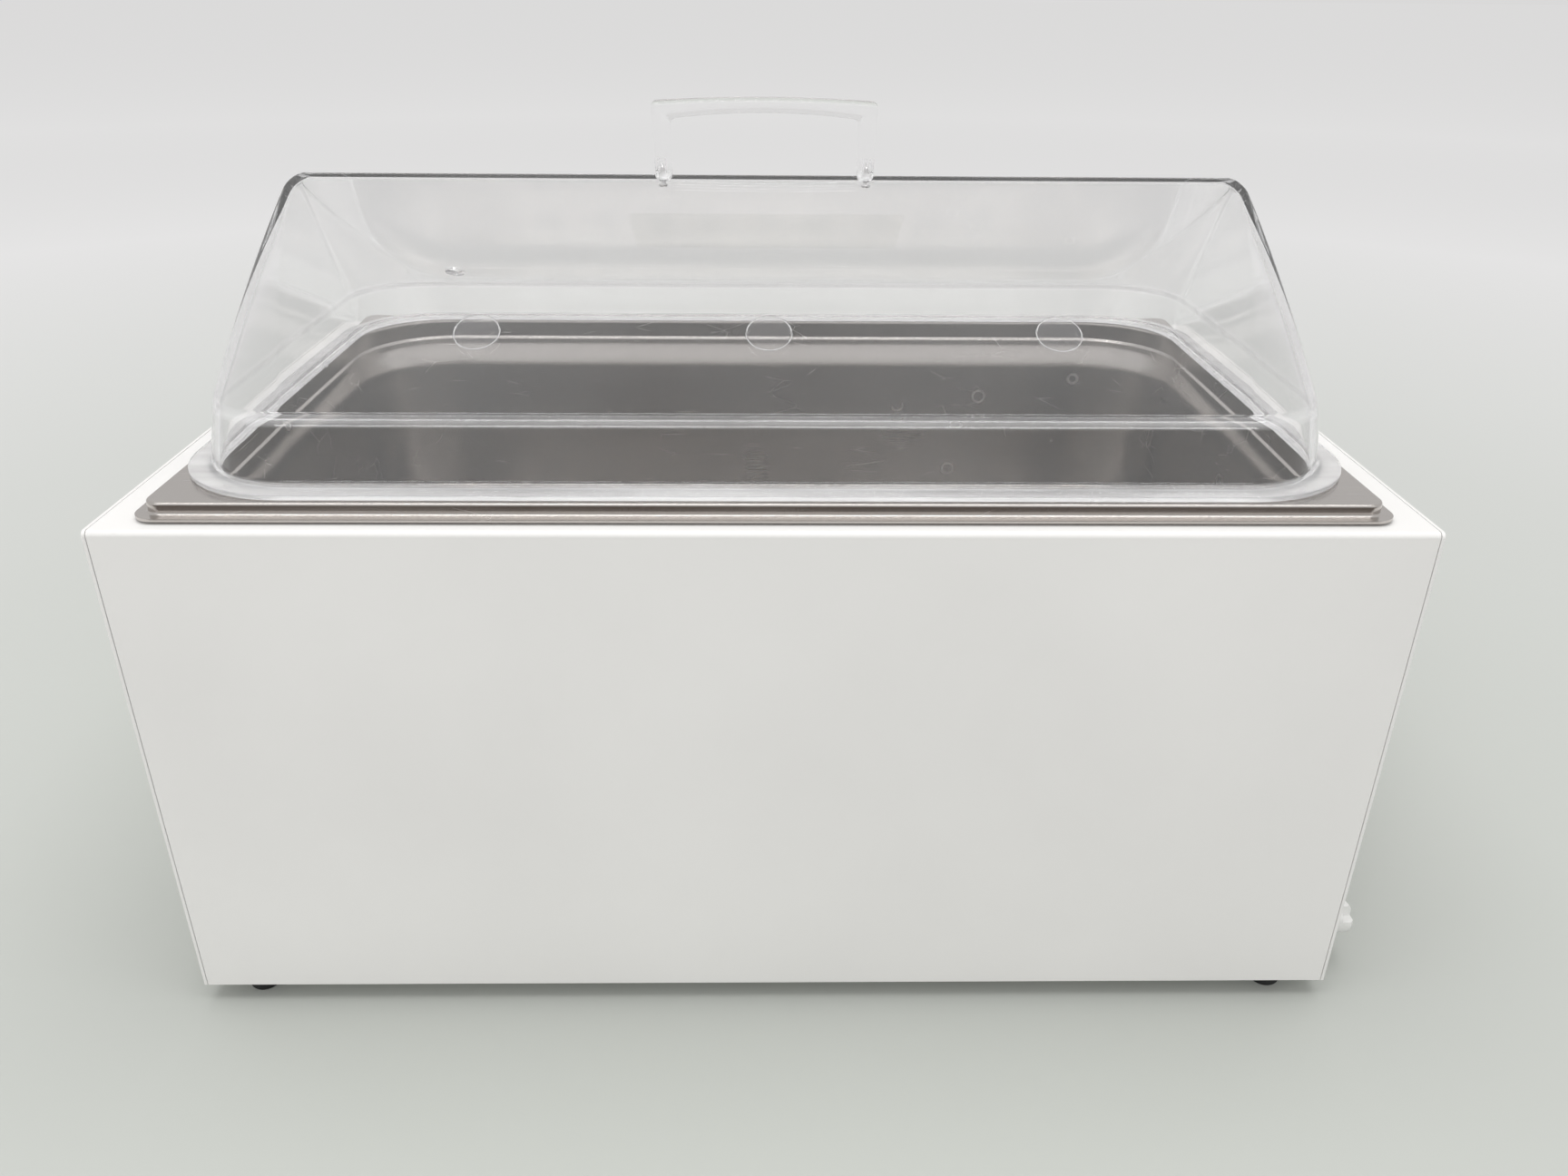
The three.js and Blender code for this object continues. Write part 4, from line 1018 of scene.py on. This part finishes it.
def dark_card():
    """A dark card on the floor in front, for the darker parts of the steel's reflections."""
    s = Shader("stage_dark_card")
    s.set(Base_Color=s.mix(s.noise(8), colour(66, 56, 50), colour(84, 72, 64)), Roughness=0.9)
    side, front, back, height = 1.6, -2.4, -0.3, 0.003
    corners = [(-side, front, height), (side, front, height), (side, back, height), (-side, back, height)]
    reflected_card("stage_dark_card", corners, s.material)


def bright_card():
    """An upright glowing card in front, brightest in a band across its middle."""
    s = Shader("stage_bright_card")
    level = s.put("ShaderNodeSeparateXYZ", Vector=s.place).outputs["Z"]
    band = s.math("MULTIPLY", s.ramp(level, 1.0, 1.5), s.ramp(level, 1.9, 2.4, 1, 0))
    glow_level = s.math("ADD", band, WORLD_STRENGTH)
    s.set(Base_Color=(0, 0, 0, 1), Emission_Color=(1, 1, 1, 1), Emission_Strength=glow_level)
    side, front, bottom, top = 3.4, -2.6, 0.9, 2.5
    corners = [(-side, front, bottom), (side, front, bottom), (side, front, top), (-side, front, top)]
    reflected_card("stage_bright_card", corners, s.material)


def reflected_card(name, corners, material):
    """A flat card off camera that shows in mirror-like surfaces only."""
    mesh = bpy.data.meshes.new(name)
    mesh.from_pydata([Vector(corner) for corner in corners], [], [(0, 1, 2, 3)])
    mesh.materials.append(material)
    card = bpy.data.objects.new(name, mesh)
    card.visible_camera = False
    card.visible_diffuse = False
    card.visible_transmission = False
    card.visible_shadow = False
    bpy.context.scene.collection.objects.link(card)


def area_light(name, spot, aim, size, energy, glossy=False):
    data = bpy.data.lights.new(name, "AREA")
    data.shape = "RECTANGLE"
    data.size, data.size_y = size
    data.energy = energy
    lamp = bpy.data.objects.new(name, data)
    lamp.visible_glossy = glossy
    lamp.visible_transmission = glossy
    lamp.visible_diffuse = not glossy
    lamp.location = spot
    lamp.rotation_mode = "QUATERNION"
    lamp.rotation_quaternion = (Vector(aim) - Vector(spot)).to_track_quat("-Z", "Y")
    bpy.context.scene.collection.objects.link(lamp)


def lights():
    """An even pale world, two soft lamps for the surfaces and three strips for the highlights."""
    world = bpy.data.worlds.new("studio")
    world.use_nodes = True
    background = world.node_tree.nodes["Background"]
    background.inputs["Color"].default_value = (1.0, 0.992, 0.988, 1)
    background.inputs["Strength"].default_value = WORLD_STRENGTH
    bpy.context.scene.world = world
    area_light("ceiling_soft", (0, -0.1, 2.4), (0, 0, 0.2), (2.6, 1.6), 32)
    area_light("front_soft", (-1.5, -4.4, 2.8), (0, 0, 0.2), (3.0, 2.4), 52)
    for y, width in ((0.02, 0.10), (-0.8, 0.16), (-1.7, 0.22)):
        name = f"strip_{round(-y * 10)}"
        energy = STRIP_POWER_PER_WIDTH * width
        area_light(name, (0, y, 2.4), (0, 0, 0.3), (3.2, width), energy, glossy=True)


def camera():
    """The camera a little above the lid's ridge, looking down at the front of the case."""
    data = bpy.data.cameras.new("camera")
    data.sensor_width = 36
    data.lens = LENS
    data.clip_start = 0.02
    data.clip_end = 50
    pitch, yaw, roll = (math.radians(angle) for angle in (PITCH, YAW, ROLL))
    forward = Vector((math.sin(yaw) * math.cos(pitch), math.cos(yaw) * math.cos(pitch), -math.sin(pitch)))
    right = Vector((math.cos(yaw), -math.sin(yaw), 0))
    up = right.cross(forward)
    tilted_right = right * math.cos(roll) + up * math.sin(roll)
    tilted_up = up * math.cos(roll) - right * math.sin(roll)
    turn = Matrix((tilted_right, tilted_up, -forward)).transposed()
    eye = bpy.data.objects.new("camera", data)
    eye.matrix_world = Matrix.Translation(EYE) @ turn.to_4x4()
    bpy.context.scene.collection.objects.link(eye)
    bpy.context.scene.camera = eye


camera()
stage_floor()
dark_card()
bright_card()
lights()
case_pieces()
foot_pieces()
tank_pieces()
lid_pieces()
control_pieces()
drain_pieces()
inlet_pieces()
hidden_pieces()
bpy.context.scene.view_settings.view_transform = "Standard"
